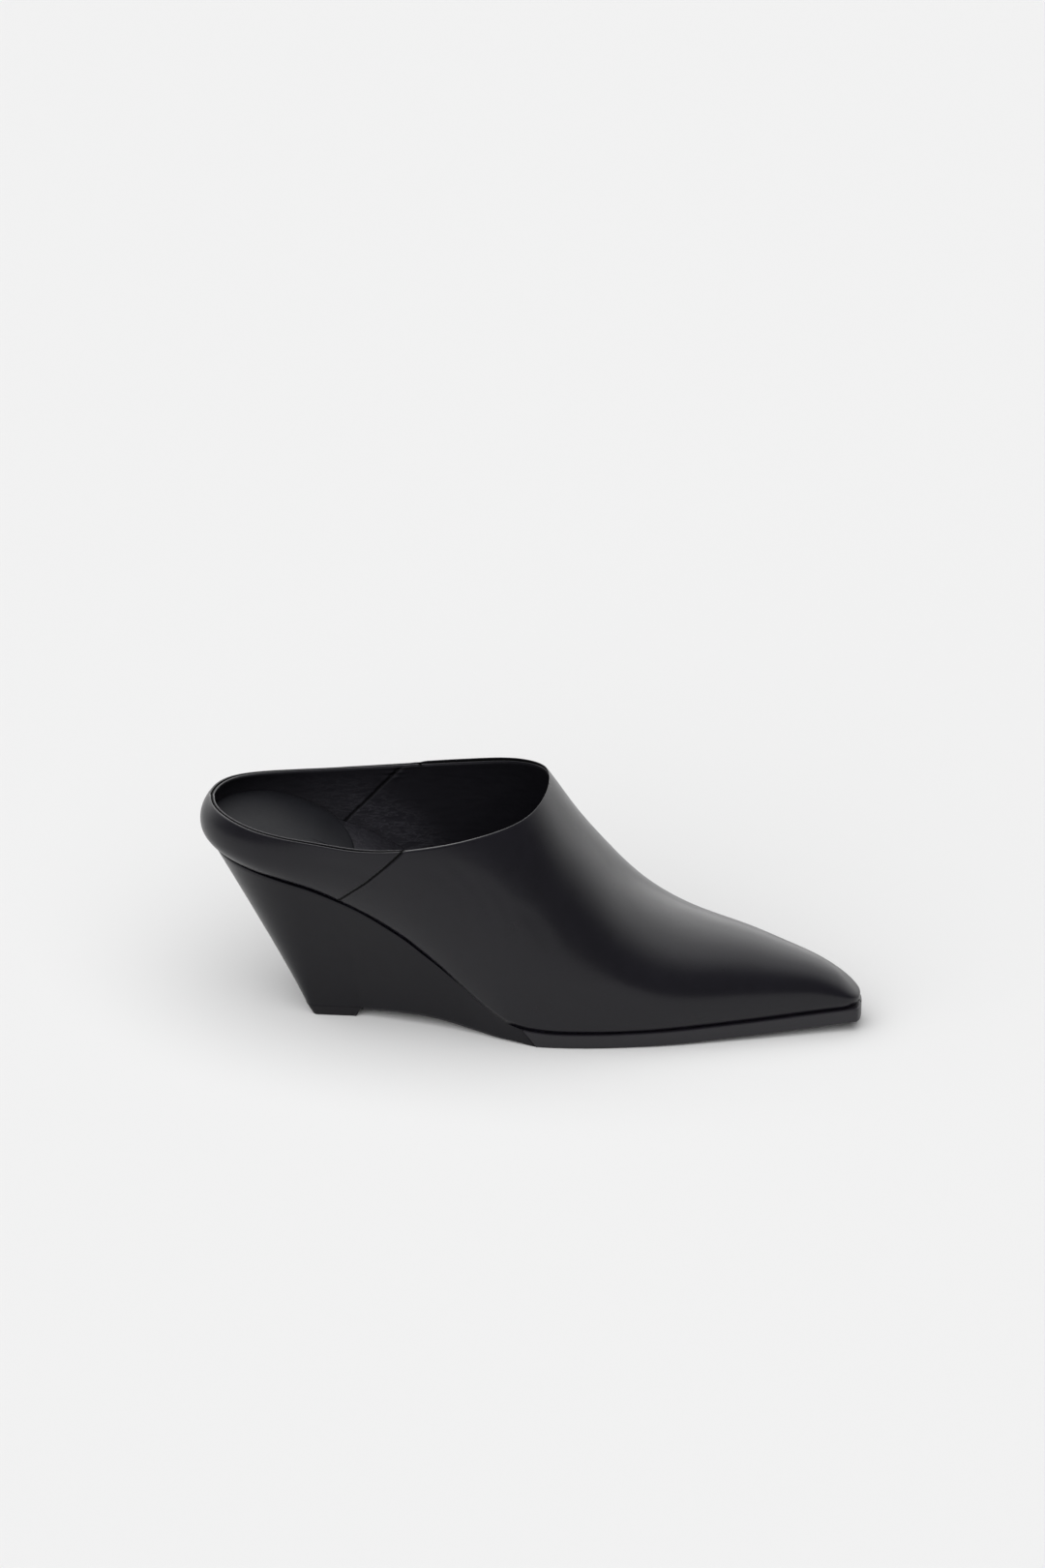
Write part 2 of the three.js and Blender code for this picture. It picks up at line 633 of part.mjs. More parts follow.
// The heel pad lies on the insole, with a rounded front end.
function heelPadGeometry() {
  const inset = insoleInset + heelPadMargin;
  const back = steps(0, Math.PI / 2, heelSteps).map((turn) => [
    seatBack + inset + (heelRound - seatBack) * (1 - Math.cos(turn)),
    (halfWidth(0) - inset) * Math.sin(turn),
  ]);
  const frontRound = heelPadLength - heelRound;
  const front = [...steps(0, Math.PI / 2, padFrontSteps), Math.PI / 2].map((turn) => [
    heelRound + inset + (frontRound - inset) * Math.sin(turn),
    (halfWidth(heelRound) - inset) * Math.cos(turn),
  ]);
  const outer = [...back, ...front];
  const inner = outer.slice(1, -1).map(([x, y]) => [x, -y]);
  const plan = [...inner, ...outer.slice().reverse()];
  const lift = 2 * joinGap + insoleThickness;
  const along = [...steps(0, heelPadLength, padSteps), heelPadLength];
  const thickness = (x) =>
    heelPadThickness + (heelPadFront - heelPadThickness) * (x / heelPadLength);
  const side = [
    ...along.map((x) => [x, seatLine(x) + lift]),
    ...along.slice().reverse().map((x) => [x, seatLine(x) + lift + thickness(x)]),
  ];
  return sideByPlan(side, plan);
}

// The top piece that the wedge stands on: a slab that carries on the wedge's slants.
function topPieceGeometry() {
  const rows = steps(0, Math.PI / 2, heelSteps).map((turn) => {
    const [x, half] = baseCorner(turn);
    return { x, half };
  });
  rows.push({ x: baseBack + baseRound, half: baseHalfWidth });
  rows.push({ x: wedgeBreast, half: wedgeLowHalf(wedgeBreast) });
  const shorter = restLength / baseLength;
  const narrower = (baseHalfWidth - baseSideLean) / baseHalfWidth;
  const topPoint = ({ x, half }, side) => new THREE.Vector3(x, side * half, topPieceThickness);
  const lowPoint = ({ x, half }, side) =>
    new THREE.Vector3(restBack + (x - baseBack) * shorter, side * half * narrower, 0);
  return bodyBetween(rows, topPoint, lowPoint);
}

// Finishes.
const finish = (name, color, roughness) =>
  new THREE.MeshStandardMaterial({ name, color, roughness, metalness: 0 });
const blackLeather = finish("black_leather", 0x1b1b1d, 0.38);
const liningLeather = finish("lining_leather", 0x161618, 0.6);
const soleRubber = finish("sole_rubber", 0x1a191b, 0.55);

const shoe = new THREE.Group();
const pieces = [
  ["upper", upperGeometry(), blackLeather],
  ["wedge", wedgeGeometry(), blackLeather],
  ["outsole", soleGeometry(), soleRubber],
  ["top_piece", topPieceGeometry(), soleRubber],
  ["insole", insoleGeometry(), liningLeather],
  ["heel_pad", heelPadGeometry(), liningLeather],
];
for (const [name, geometry, material] of pieces) {
  geometry.computeVertexNormals();
  const mesh = new THREE.Mesh(geometry, material);
  mesh.name = name;
  mesh.position.x = -originAlong;
  shoe.add(mesh);
}

export default shoe;
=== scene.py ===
"""Finish and surroundings of a left wedge mule in smooth black leather.

The upper, wedge, sole, top piece, insole and heel pad are worked out from the shoe's sizes as
grids of points. The rolled collar, the two side seams, the soft wear creases and the rounded
edges are in the meshes. The leather's grain and shine are in the materials.

Metres, in the same frame as the part: +X to the toe, +Y to the outer side, +Z up, floor at 0.
"""

import math

import bpy
import numpy as np
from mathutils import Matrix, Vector


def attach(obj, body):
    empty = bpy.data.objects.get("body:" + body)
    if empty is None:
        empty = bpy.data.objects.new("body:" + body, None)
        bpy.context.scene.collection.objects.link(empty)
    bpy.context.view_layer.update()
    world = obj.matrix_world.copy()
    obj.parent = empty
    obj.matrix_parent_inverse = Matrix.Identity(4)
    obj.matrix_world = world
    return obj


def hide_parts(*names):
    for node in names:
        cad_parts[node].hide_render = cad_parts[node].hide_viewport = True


bl_info = {
    "name": "Wedge mule",
    "version": (1, 0, 0),
    "blender": (4, 5, 0),
    "location": "3D View > Sidebar > Mule",
    "description": "Builds the finished surfaces of a wedge mule and its studio",
    "category": "Add Mesh",
}

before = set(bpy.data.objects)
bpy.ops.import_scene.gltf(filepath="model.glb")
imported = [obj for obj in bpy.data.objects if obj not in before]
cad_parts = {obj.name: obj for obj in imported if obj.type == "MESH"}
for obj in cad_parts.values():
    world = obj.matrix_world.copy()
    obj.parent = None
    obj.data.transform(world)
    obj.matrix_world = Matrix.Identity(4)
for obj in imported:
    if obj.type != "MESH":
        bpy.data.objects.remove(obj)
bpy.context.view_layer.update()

MM = 0.001

# Plan outline of the sole and of the wedge's top. along: share of the shoe's length.
# centre, half: middle line and half width, shares of the ball width.
OUTLINE = {
    "along": [
        0.0, 0.157, 0.251, 0.329, 0.412, 0.471, 0.529, 0.588, 0.651, 0.722, 0.788, 0.859, 0.929,
        1.0,
    ],
    "centre": [
        0.0, 0.0, 0.003, 0.01, 0.013, 0.003, 0.002, 0.005, 0.004, -0.017, -0.039, -0.066, -0.094,
        -0.125,
    ],
    "half": [
        0.377, 0.377, 0.394, 0.407, 0.435, 0.475, 0.5, 0.499, 0.475, 0.416, 0.343, 0.259, 0.171,
        0.082,
    ],
}
# The line where the upper meets wedge and sole, share of the way from the sole's top to the seat.
SEAT = {
    "along": [
        0.0, 0.055, 0.1, 0.129, 0.165, 0.192, 0.235, 0.26, 0.286, 0.314, 0.338, 0.365, 0.39,
        0.414, 0.443, 0.475, 0.51, 0.549, 1.0,
    ],
    "seat": [
        1.0, 0.974, 0.943, 0.917, 0.876, 0.836, 0.762, 0.707, 0.639, 0.56, 0.478, 0.386, 0.296,
        0.211, 0.118, 0.044, 0.008, 0.0, 0.0,
    ],
}
# Rise of the sole towards the toe, share of the toe spring.
SPRING = {
    "along": [0.0, 0.608, 0.69, 0.784, 0.9, 1.0],
    "spring": [0.0, 0.0, 0.1, 0.32, 0.67, 1.0],
}
# Top edge of the opening above the back of the band, share of the throat's lift, on both sides.
# along: share of the way to the front of the opening.
COLLAR = {
    "along": [
        -0.05, 0.04, 0.08, 0.15, 0.23, 0.3, 0.38, 0.46, 0.53, 0.6, 0.68, 0.76, 0.83, 0.9, 0.95,
        0.98, 1.0,
    ],
    "inner": [
        0.0, 0.02, -0.01, -0.1, -0.2, -0.285, -0.37, -0.41, -0.36, -0.265, -0.11, 0.09, 0.31,
        0.54, 0.7, 0.85, 1.0,
    ],
    "outer": [
        0.0, -0.06, -0.18, -0.34, -0.4, -0.375, -0.34, -0.335, -0.31, -0.26, -0.15, 0.0, 0.2,
        0.415, 0.585, 0.775, 1.0,
    ],
}
# The last by share of the shoe's length: ridge height (share of the throat's height), how far the
# widest line stands out (share of the ball width), its height (share of the way up) and the
# fullness above it.
LAST = {
    "along": [
        0.0, 0.1, 0.176, 0.255, 0.333, 0.412, 0.471, 0.522, 0.557, 0.596, 0.647, 0.706, 0.765,
        0.824, 0.882, 0.941, 1.0,
    ],
    "crown": [
        1.041, 1.061, 1.122, 1.223, 1.294, 1.266, 1.165, 1.0, 0.851, 0.708, 0.546, 0.435, 0.384,
        0.353, 0.311, 0.259, 0.168,
    ],
    "bulge": [
        0.054, 0.046, 0.046, 0.067, 0.087, 0.078, 0.059, 0.045, 0.041, 0.036, 0.032, 0.03, 0.027,
        0.024, 0.021, 0.02, 0.02,
    ],
    "widest": [
        0.25, 0.28, 0.34, 0.4, 0.37, 0.35, 0.32, 0.3, 0.3, 0.32, 0.33, 0.33, 0.31, 0.3, 0.33,
        0.38, 0.45,
    ],
    "fullness": [
        2.0, 2.0, 2.0, 2.0, 2.0, 2.0, 2.0, 2.0, 2.0, 2.0, 2.05, 2.1, 2.15, 2.2, 2.2, 2.2, 2.2,
    ],
}
# Underside of the wedge by share of the way from the top piece to its lower tip: height (share of
# the top piece's thickness), half width and middle line (shares of the ball width).
ARCH = {
    "along": [0.0, 0.1, 0.25, 0.35, 0.5, 0.65, 0.8, 1.0],
    "arch": [1.07, 1.22, 1.36, 1.38, 1.16, 0.75, 0.47, 0.2],
    "half": [0.263, 0.281, 0.312, 0.333, 0.366, 0.402, 0.446, 0.494],
    "centre": [0.0, 0.0, 0.001, 0.002, 0.004, 0.004, 0.002, 0.002],
}
# Join between the upper and the wedge or sole, in millimetres from the back: how far the upper's
# bottom edge lies inside the piece below, how far above it, and how round the wedge's top edge
# is. Wide under the heel band, closed where the leather runs smoothly over the wedge's tip, and
# open again as the sole's groove. band_ends: where the heel band's extra width runs out.
JOIN = {
    "along": [0, 24, 33, 47, 57, 63, 72, 86, 95, 103, 119, 125, 134, 255],
    "margin": [0.35, 0.4, 0.6, 0.6, 0.35, 0.3, 0.4, 0.4, 0.2, 0.0, 0.0, 0.5, 0.85, 0.9],
    "gap": [0.28, 0.3, 0.5, 0.5, 0.28, 0.22, 0.36, 0.36, 0.16, 0.02, 0.02, 0.26, 0.33, 0.3],
    "edge": [0.25, 0.25, 0.25, 0.25, 0.25, 0.25, 0.25, 0.22, 0.12, 0.04, 0.04, 0.04, 0.04, 0.04],
    "band_ends": (80.0, 130.0),
}
# Rolled top edge, from the outside of the wall to the inside: across is the share of the wall.
# band, near, far: its height above the cut edge in millimetres on the heel band, on the vamp's
# inner side and on its front and outer side. Except on the vamp's inner side, a gap parts the
# folded leather from the lining's own roll. band_shade, far_shade: painted shade in that gap,
# the share by which each row is darkened towards black and dulled, on the band and on the
# vamp's front and outer side. lining: the first row across that is lining. band_ends,
# front_starts: distances from the back between which the heights pass from the band to the
# vamp, and from the vamp's inner side to its front.
RIM = {
    "across": [0.03, 0.1, 0.18, 0.27, 0.34, 0.39, 0.44, 0.5, 0.55, 0.6, 0.68, 0.78, 0.89, 0.98],
    "band": [0.12, 0.26, 0.33, 0.28, 0.08, -0.2, -0.35, -0.25, 0.2, 0.5, 0.68, 0.68, 0.45, 0.08],
    "near": [0.18, 0.38, 0.5, 0.6, 0.65, 0.68, 0.69, 0.69, 0.67, 0.65, 0.6, 0.5, 0.3, 0.05],
    "far": [0.35, 0.7, 0.9, 0.95, 0.75, 0.3, -0.1, -0.2, 0.0, 0.3, 0.5, 0.5, 0.3, 0.05],
    "band_shade": [0.0, 0.0, 0.0, 0.1, 0.8, 1.0, 1.0, 1.0, 1.0, 0.5, 0.0, 0.0, 0.0, 0.0],
    "far_shade": [0.0, 0.0, 0.0, 0.0, 0.5, 1.0, 1.0, 1.0, 0.8, 0.2, 0.0, 0.0, 0.0, 0.0],
    "lining": 0.89,
    "band_ends": (77.0, 84.0),
    "front_starts": (118.0, 130.0),
}
# Side seam between the vamp and the heel band: distance from the back at a height, both in
# millimetres of the real shoe, and the share of a step along the shoe that leads across the
# slanted seam. The lining's seam lies further back by its shift. ridge_fade: how far behind the
# front of the opening the relief begins to fade out at the vamp's ridge.
SEAM = {
    "height": [50.0, 56.5, 61.9, 67.2, 74.4, 82.0, 90.0],
    "back": [47.5, 55.0, 60.2, 66.0, 73.0, 80.2, 87.0],
    "slant": 0.72,
    "lining_shift": 6.0,
    "ridge_fade": 30.0,
}
# Relief across the seam in millimetres. Outside, a cut between two lips. Inside, a cut with a
# fold beside it, puckered along its line.
SEAM_OUTSIDE = {
    "cut": {"depth": 0.2, "wide": 0.6},
    "lips": {"height": 0.08, "wide": 0.6, "apart": 1.3},
}
SEAM_INSIDE = {
    "cut": {"depth": 0.3, "wide": 0.9},
    "fold": {"height": 0.2, "wide": 0.8, "apart": 1.5},
    "pucker": {"height": 0.16, "wide": 2.6, "turn": 2.9},
}
# Where the lining is wrinkled: the middle, half length and half height of the place, in
# millimetres from the back and above the seat.
WRINKLED = {"back": 68.0, "long": 20.0, "above_seat": 9.0, "high": 10.0}
# Heel pad in millimetres: how far it stands in from the wall's foot, how far it leans out and
# rises at its edge, the places between which both fade, and the middle and half width that the
# rise is measured from.
PAD = {
    "clearance": 0.5,
    "lean": 3.8,
    "lean_fades": (22.0, 54.0),
    "rise": 3.0,
    "rise_fades": (18.0, 56.0),
    "middle": 34.0,
    "half": 30.0,
}
# The camera: the point that it looks at and its distance, degrees round to the toe and up from
# the floor, and its lens. Millimetres, but for the distance in metres.
VIEW = {
    "along": 123.1,
    "height": 93.8,
    "away": 3.0,
    "around": 4.5,
    "up": 28.1,
    "lens": 180.0,
    "sensor": 36.0,
}
# Rows of points up a wall below and above its widest line, how fast the wall swells out from its
# foot, how strongly the top rows alone bend down to the front of the opening, and how far the
# lip's inner edge lies in from the wedge's lower edge.
LOW_ROWS, HIGH_ROWS = 14, 40
SWELL = 2.4
TOP_HOLD = 5.0
LIP_WIDE = 1.2
# Halvings in a search, and how much a crease bends, per millimetre along it.
HALVINGS = 50
CREASE_BOW = 0.012
# Soft creases and hollows in the upper: centre (back, height), direction in the side view in
# degrees, half length, half width and depth, all in millimetres. side 1 is the outer side,
# -1 the inner one, 0 both.
CREASES = [
    {"back": 112, "height": 62, "turn": 62, "long": 20, "wide": 3.2, "depth": 0.28, "side": -1},
    {"back": 121, "height": 58, "turn": 66, "long": 17, "wide": 3.0, "depth": 0.24, "side": -1},
    {"back": 134, "height": 50, "turn": 58, "long": 15, "wide": 3.6, "depth": 0.26, "side": 0},
    {"back": 147, "height": 40, "turn": 50, "long": 14, "wide": 3.4, "depth": 0.22, "side": 1},
    {"back": 98, "height": 70, "turn": 40, "long": 12, "wide": 3.4, "depth": 0.2, "side": 0},
    {"back": 60, "height": 73, "turn": 12, "long": 13, "wide": 2.4, "depth": 0.16, "side": 0},
    {"back": 165, "height": 22, "turn": 20, "long": 20, "wide": 4.5, "depth": 0.22, "side": 0},
]


def rows_at(table, column, at):
    """A table's rows as arrays, the places asked for, and the row before each of them."""
    x = np.array(table["along"], float)
    y = np.array(table[column], float)
    at = np.clip(np.asarray(at, float), x[0], x[-1])
    return x, y, at, np.clip(np.searchsorted(x, at, side="left") - 1, 0, len(x) - 2)


def smooth_curve(table, column, at):
    """Monotone cubic through a table's rows: between two rows the curve leaves and meets them
    with the harmonic mean of the slopes on both sides, so that it never swings past a value."""
    x, y, at, i = rows_at(table, column, at)
    slope = np.diff(y) / np.diff(x)
    before, after = slope[:-1], slope[1:]
    both = before * after > 0
    total = np.where(both, before + after, 1.0)
    middle = np.where(both, 2 * before * after / total, 0.0)
    tangent = np.concatenate([slope[:1], middle, slope[-1:]])
    span = x[i + 1] - x[i]
    t = (at - x[i]) / span
    return (
        y[i] * (1 + 2 * t) * (1 - t) ** 2
        + tangent[i] * span * t * (1 - t) ** 2
        + y[i + 1] * (3 - 2 * t) * t**2
        + tangent[i + 1] * span * t**2 * (t - 1)
    )


def even_curve(table, column, at):
    """Natural cubic spline through a table's rows: the second derivative runs straight from one
    row to the next, is 0 at both ends, and is found from the jumps in slope."""
    x, y, at, i = rows_at(table, column, at)
    step = np.diff(x)
    slope = np.diff(y) / step
    system = np.diag(2 * (step[:-1] + step[1:])) + np.diag(step[1:-1], 1) + np.diag(step[1:-1], -1)
    bend = np.zeros_like(y)
    bend[1:-1] = np.linalg.solve(system, 6 * np.diff(slope))
    b = (at - x[i]) / step[i]
    a = 1 - b
    bow = ((a**3 - a) * bend[i] + (b**3 - b) * bend[i + 1]) * step[i] ** 2 / 6
    return a * y[i] + b * y[i + 1] + bow


def smooth_step(x, start, end):
    """0 before the start, 1 after the end, and 3t^2 - 2t^3 between them."""
    t = np.clip((x - start) / (end - start), 0, 1)
    return t * t * (3 - 2 * t)


def bell(x, width):
    """A Gaussian round 0 that has fallen to 1/e at the width."""
    return np.exp(-((x / width) ** 2))


class Shoe:
    """The shoe's sizes in millimetres and the curves that follow from them. x is measured from
    the back of the heel."""

    # Space between neighbours, and how far the upper stands in from the outline.
    gap = 0.3
    margin = 0.9
    clearance = 0.4
    # The plan's rounded back and squared toe.
    heel_round = 38.0
    seat_back = 2.6
    toe_round = 6.0
    toe_inset = 1.2
    toe_squareness = 2.6
    sole_corner = 2.2
    # The wedge, its base and the top piece.
    wedge_top_inset = 0.8
    wedge_front = 126.0
    wedge_toe = 131.0
    beside_base = 0.22
    lip = 0.7
    lip_start = 112.0
    base_back = 39.1
    base_length = 23.0
    base_half = 20.4
    base_round = 5.0
    base_squareness = 3.0
    base_back_lean = 2.4
    base_front_lean = 1.9
    base_side_lean = 0.5
    top_piece = 4.0
    # The sole's tongue under the wedge.
    shank = 1.5
    shank_margin = 1.6

    def __init__(self, sizes):
        self.length = sizes.shoe_length / MM
        self.ball = sizes.ball_width / MM
        self.seat_height = sizes.seat_height / MM
        self.band = sizes.band_height / MM
        self.throat_lift = sizes.throat_lift / MM
        self.throat = sizes.throat_along / MM
        self.spring = sizes.toe_spring / MM
        self.sole = sizes.sole_thickness / MM
        self.wall = sizes.upper_wall / MM
        self.insole = sizes.insole_thickness / MM
        self.pad_back = sizes.pad_back / MM
        self.pad_front = sizes.pad_front / MM
        self.pad_length = sizes.pad_length / MM
        # The last's ridge: where its sections begin to fan out, and how softly. The ridge is
        # brought to the front of the opening over the throat's blend.
        self.ridge_back = 0.17 * self.length
        self.ridge_front = 0.96 * self.length
        self.ridge_blend = 0.03 * self.length
        self.throat_blend = 0.15 * self.length
        # The base's front, and the top piece's underside, whose middle is the part's origin.
        self.breast = self.base_back + self.base_length
        self.rest_back = self.base_back + self.base_back_lean
        self.rest_length = self.base_length - self.base_back_lean - self.base_front_lean
        self.origin = self.rest_back + self.rest_length / 2

    def centre(self, x):
        return self.ball * even_curve(OUTLINE, "centre", x / self.length)

    def half(self, x):
        return self.ball * even_curve(OUTLINE, "half", x / self.length)

    def bottom(self, x):
        return self.spring * smooth_curve(SPRING, "spring", x / self.length)

    def seat(self, x):
        share = smooth_curve(SEAT, "seat", x / self.length)
        return self.bottom(x) + self.sole + (self.seat_height - self.sole) * share

    def collar(self, x, side):
        share = even_curve(COLLAR, "outer" if side > 0 else "inner", x / self.throat)
        return self.seat_height + self.band + self.throat_lift * share

    def crown(self, x):
        share = even_curve(LAST, "crown", x / self.length)
        there = even_curve(LAST, "crown", self.throat / self.length)
        near = bell(x - self.throat, self.throat_blend)
        top = self.seat_height + self.band + self.throat_lift
        return top * share * (1 + (1 / there - 1) * near)

    def ridge(self, x):
        near = (x + self.ridge_back + np.hypot(x - self.ridge_back, self.ridge_blend)) / 2
        return (near + self.ridge_front - np.hypot(near - self.ridge_front, self.ridge_blend)) / 2

    def arch(self, x):
        share = (x - self.breast) / (self.wedge_toe - self.breast)
        under = self.top_piece * smooth_curve(ARCH, "arch", share)
        return np.where(share <= 0, self.top_piece + self.gap, under)

    def arch_share(self, x, column):
        share = (x - self.breast) / (self.wedge_toe - self.breast)
        return self.ball * smooth_curve(ARCH, column, share)

    def placed(self, points):
        """Millimetres from the back of the heel to metres in the part's frame."""
        return (points - np.array([self.origin, 0.0, 0.0])) * MM


def welded(points, quads, labels=None):
    """Merges points closer than a micrometre and splits quads into triangles, leaving out those
    that merging has closed up."""
    rounded = np.round(points * 1e6).astype(np.int64)
    _, first, inverse = np.unique(rounded, axis=0, return_index=True, return_inverse=True)
    tris = inverse.ravel()[np.concatenate([quads[:, [0, 1, 2]], quads[:, [0, 2, 3]]])]
    marks = None if labels is None else np.concatenate([labels, labels])
    live = (tris[:, 0] != tris[:, 1]) & (tris[:, 1] != tris[:, 2]) & (tris[:, 2] != tris[:, 0])
    return points[first], tris[live], None if marks is None else marks[live], first


def put_object(name, points, faces, materials, marks=None, attributes=None, normals=None):
    """Makes a mesh object from an array of points and one of faces, in the part's frame. Where a
    point's own normal is given as zeros, it takes that of its faces."""
    mesh = bpy.data.meshes.new(name)
    mesh.from_pydata(points.tolist(), [], faces.tolist())
    for material in materials:
        mesh.materials.append(material)
    if marks is not None:
        mesh.polygons.foreach_set("material_index", marks.astype(np.int32))
    mesh.polygons.foreach_set("use_smooth", np.full(len(faces), True))
    for key, values in (attributes or {}).items():
        layer = mesh.attributes.new(key, "FLOAT", "POINT")
        layer.data.foreach_set("value", np.ascontiguousarray(values, np.float32))
    mesh.update()
    if normals is not None:
        mesh.normals_split_custom_set_from_vertices(normals.tolist())
    piece = bpy.data.objects.new(name, mesh)
    bpy.context.scene.collection.objects.link(piece)
    return piece


def drop_piece(name):
    """Removes an earlier copy of a piece, so that a button can be pressed twice."""
    old = bpy.data.objects.get(name)
    if old is not None:
        bpy.data.objects.remove(old)


def put_piece(name, slot, node, points, faces, materials, *layers):
    drop_piece(name)
    piece = put_object(name, points, faces, materials, *layers)
    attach(piece, "root")
    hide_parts(node)
    return piece


def squared_toe(shoe, corner, steps):
    """x and spread of stations along one side of the toe's end in plan: a quarter of a squarer
    superellipse."""
    turn = np.linspace(0, np.pi / 2, steps + 1)
    power = 2 / shoe.toe_squareness
    spread = np.maximum(np.cos(turn), 0) ** power
    spread[-1] = 0.0
    return shoe.length - corner * (1 - np.sin(turn) ** power), spread


def plan_stations(shoe, middle, heel_steps, toe_steps):
    """x and spread of stations along one side of a plan: a quarter ellipse round the heel, the
    given middle ones and the squared toe."""
    turn = np.linspace(0, np.pi / 2, heel_steps, endpoint=False)
    heel_x = shoe.seat_back + (shoe.heel_round - shoe.seat_back) * (1 - np.cos(turn))
    toe_x, toe_spread = squared_toe(shoe, shoe.toe_round, toe_steps)
    x = np.concatenate([heel_x, middle, toe_x])
    return x, np.concatenate([np.sin(turn), np.ones(len(middle)), toe_spread])


def upper_side(shoe, side, inset, x0, spread, is_open, top_angle=None):
    """One wall of the last as an array of points, stations by rows. From its bottom edge the
    wall swells out to its widest line. Above that line a point lies at cos^(2/n) of the way out
    and sin^(2/n) of the way up from the widest line to the ridge, for an angle from 0 up to the
    collar, found by bisection, or to a quarter turn."""
    pulled = shoe.margin + inset
    toe = shoe.length - shoe.toe_inset - pulled
    x = pulled + x0 / shoe.length * (toe - pulled)
    y = shoe.centre(x0) + side * (shoe.half(x0) - pulled) * spread
    ridge_x = shoe.ridge(x0)
    ridge_y = shoe.centre(ridge_x)
    out_x, out_y = np.array([x - ridge_x, y - ridge_y]) / np.hypot(x - ridge_x, y - ridge_y)
    shift = pulled - smooth_curve(JOIN, "margin", x0) if inset == 0 else 0.0
    bulge = shoe.ball * even_curve(LAST, "bulge", x0 / shoe.length)
    bulge = bulge + shift * (1 - smooth_step(x0, *JOIN["band_ends"]))
    wide_x, wide_y = x + out_x * bulge, y + out_y * bulge
    bottom = shoe.seat(x) + shoe.gap
    widest = bottom + (shoe.crown(wide_x) - bottom) * even_curve(LAST, "widest", x0 / shoe.length)
    power = 2 / even_curve(LAST, "fullness", x0 / shoe.length)

    def on_wall(angle):
        across = np.maximum(np.cos(angle), 0) ** power
        along = ridge_x + (wide_x - ridge_x) * across
        height = widest + (shoe.crown(along) - inset - widest) * np.sin(angle) ** power
        return along, ridge_y + (wide_y - ridge_y) * across, height

    if top_angle is None:
        low, high = np.zeros_like(x), np.full_like(x, np.pi / 2)
        for _ in range(HALVINGS):
            middle = (low + high) / 2
            px, _, pz = on_wall(middle)
            below = (px < shoe.throat) & (pz < shoe.collar(px, side))
            low, high = np.where(below, middle, low), np.where(below, high, middle)
        top_angle = np.where(is_open, low, np.pi / 2)
    if inset == 0:
        x, y = x + out_x * shift, y + out_y * shift
        bottom = shoe.seat(x) + smooth_curve(JOIN, "gap", x0)
    points = np.empty((len(x), LOW_ROWS + HIGH_ROWS + 1, 3))
    up = np.linspace(0, 1, LOW_ROWS, endpoint=False)
    out = 1 - (1 - up) ** SWELL
    points[:, :LOW_ROWS, 0] = x[:, None] + (wide_x - x)[:, None] * out
    points[:, :LOW_ROWS, 1] = y[:, None] + (wide_y - y)[:, None] * out
    points[:, :LOW_ROWS, 2] = bottom[:, None] + (widest - bottom)[:, None] * up
    # Near the front of the opening only the top rows bend down to its edge.
    hold = 1 + TOP_HOLD * np.maximum((top_angle - 1) / (np.pi / 2 - 1), 0)
    for row in range(HIGH_ROWS + 1):
        share = row / HIGH_ROWS
        place = on_wall(np.pi / 2 * share + (top_angle - np.pi / 2) * share**hold)
        points[:, LOW_ROWS + row] = np.stack(place, axis=1)
    closed = ~is_open
    ridge = np.stack([ridge_x, ridge_y, shoe.crown(ridge_x) - inset], axis=1)
    points[closed, -1] = ridge[closed]
    return points, top_angle


def seam_distance(points, shift=0.0):
    """Signed distance in millimetres from a point of the wall to the side seam."""
    back = np.interp(points[..., 2], SEAM["height"], SEAM["back"])
    return (points[..., 0] + shift - back) * SEAM["slant"]


def crease_depth(points, side):
    """Sum of the soft troughs: a Gaussian across each one, and a flat-topped bell along it."""
    total = np.zeros(points.shape[:-1])
    for crease in CREASES:
        if crease["side"] not in (0, side):
            continue
        turn = math.radians(crease["turn"])
        dx = points[..., 0] - crease["back"]
        dz = points[..., 2] - crease["height"]
        along = dx * math.cos(turn) - dz * math.sin(turn)
        across = dx * math.sin(turn) + dz * math.cos(turn) + CREASE_BOW * along**2
        fade = np.exp(-((along / crease["long"]) ** 4))
        total -= crease["depth"] * fade * bell(across, crease["wide"])
    return total


def throat_station(shoe):
    """The station whose section leans towards the front of the opening, by bisection."""
    low, high = 0.0, shoe.length
    for _ in range(HALVINGS):
        middle = (low + high) / 2
        behind = shoe.ridge(np.array(middle)) < shoe.throat
        low, high = (middle, high) if behind else (low, middle)
    return (low + high) / 2


def unit(vectors):
    """Vectors brought to length 1."""
    return vectors / np.maximum(np.linalg.norm(vectors, axis=-1, keepdims=True), 1e-9)


def grid_normals(points):
    """Unit normals of a grid of points: the cross product of its two directions."""
    return unit(np.cross(np.gradient(points, axis=0), np.gradient(points, axis=1)))


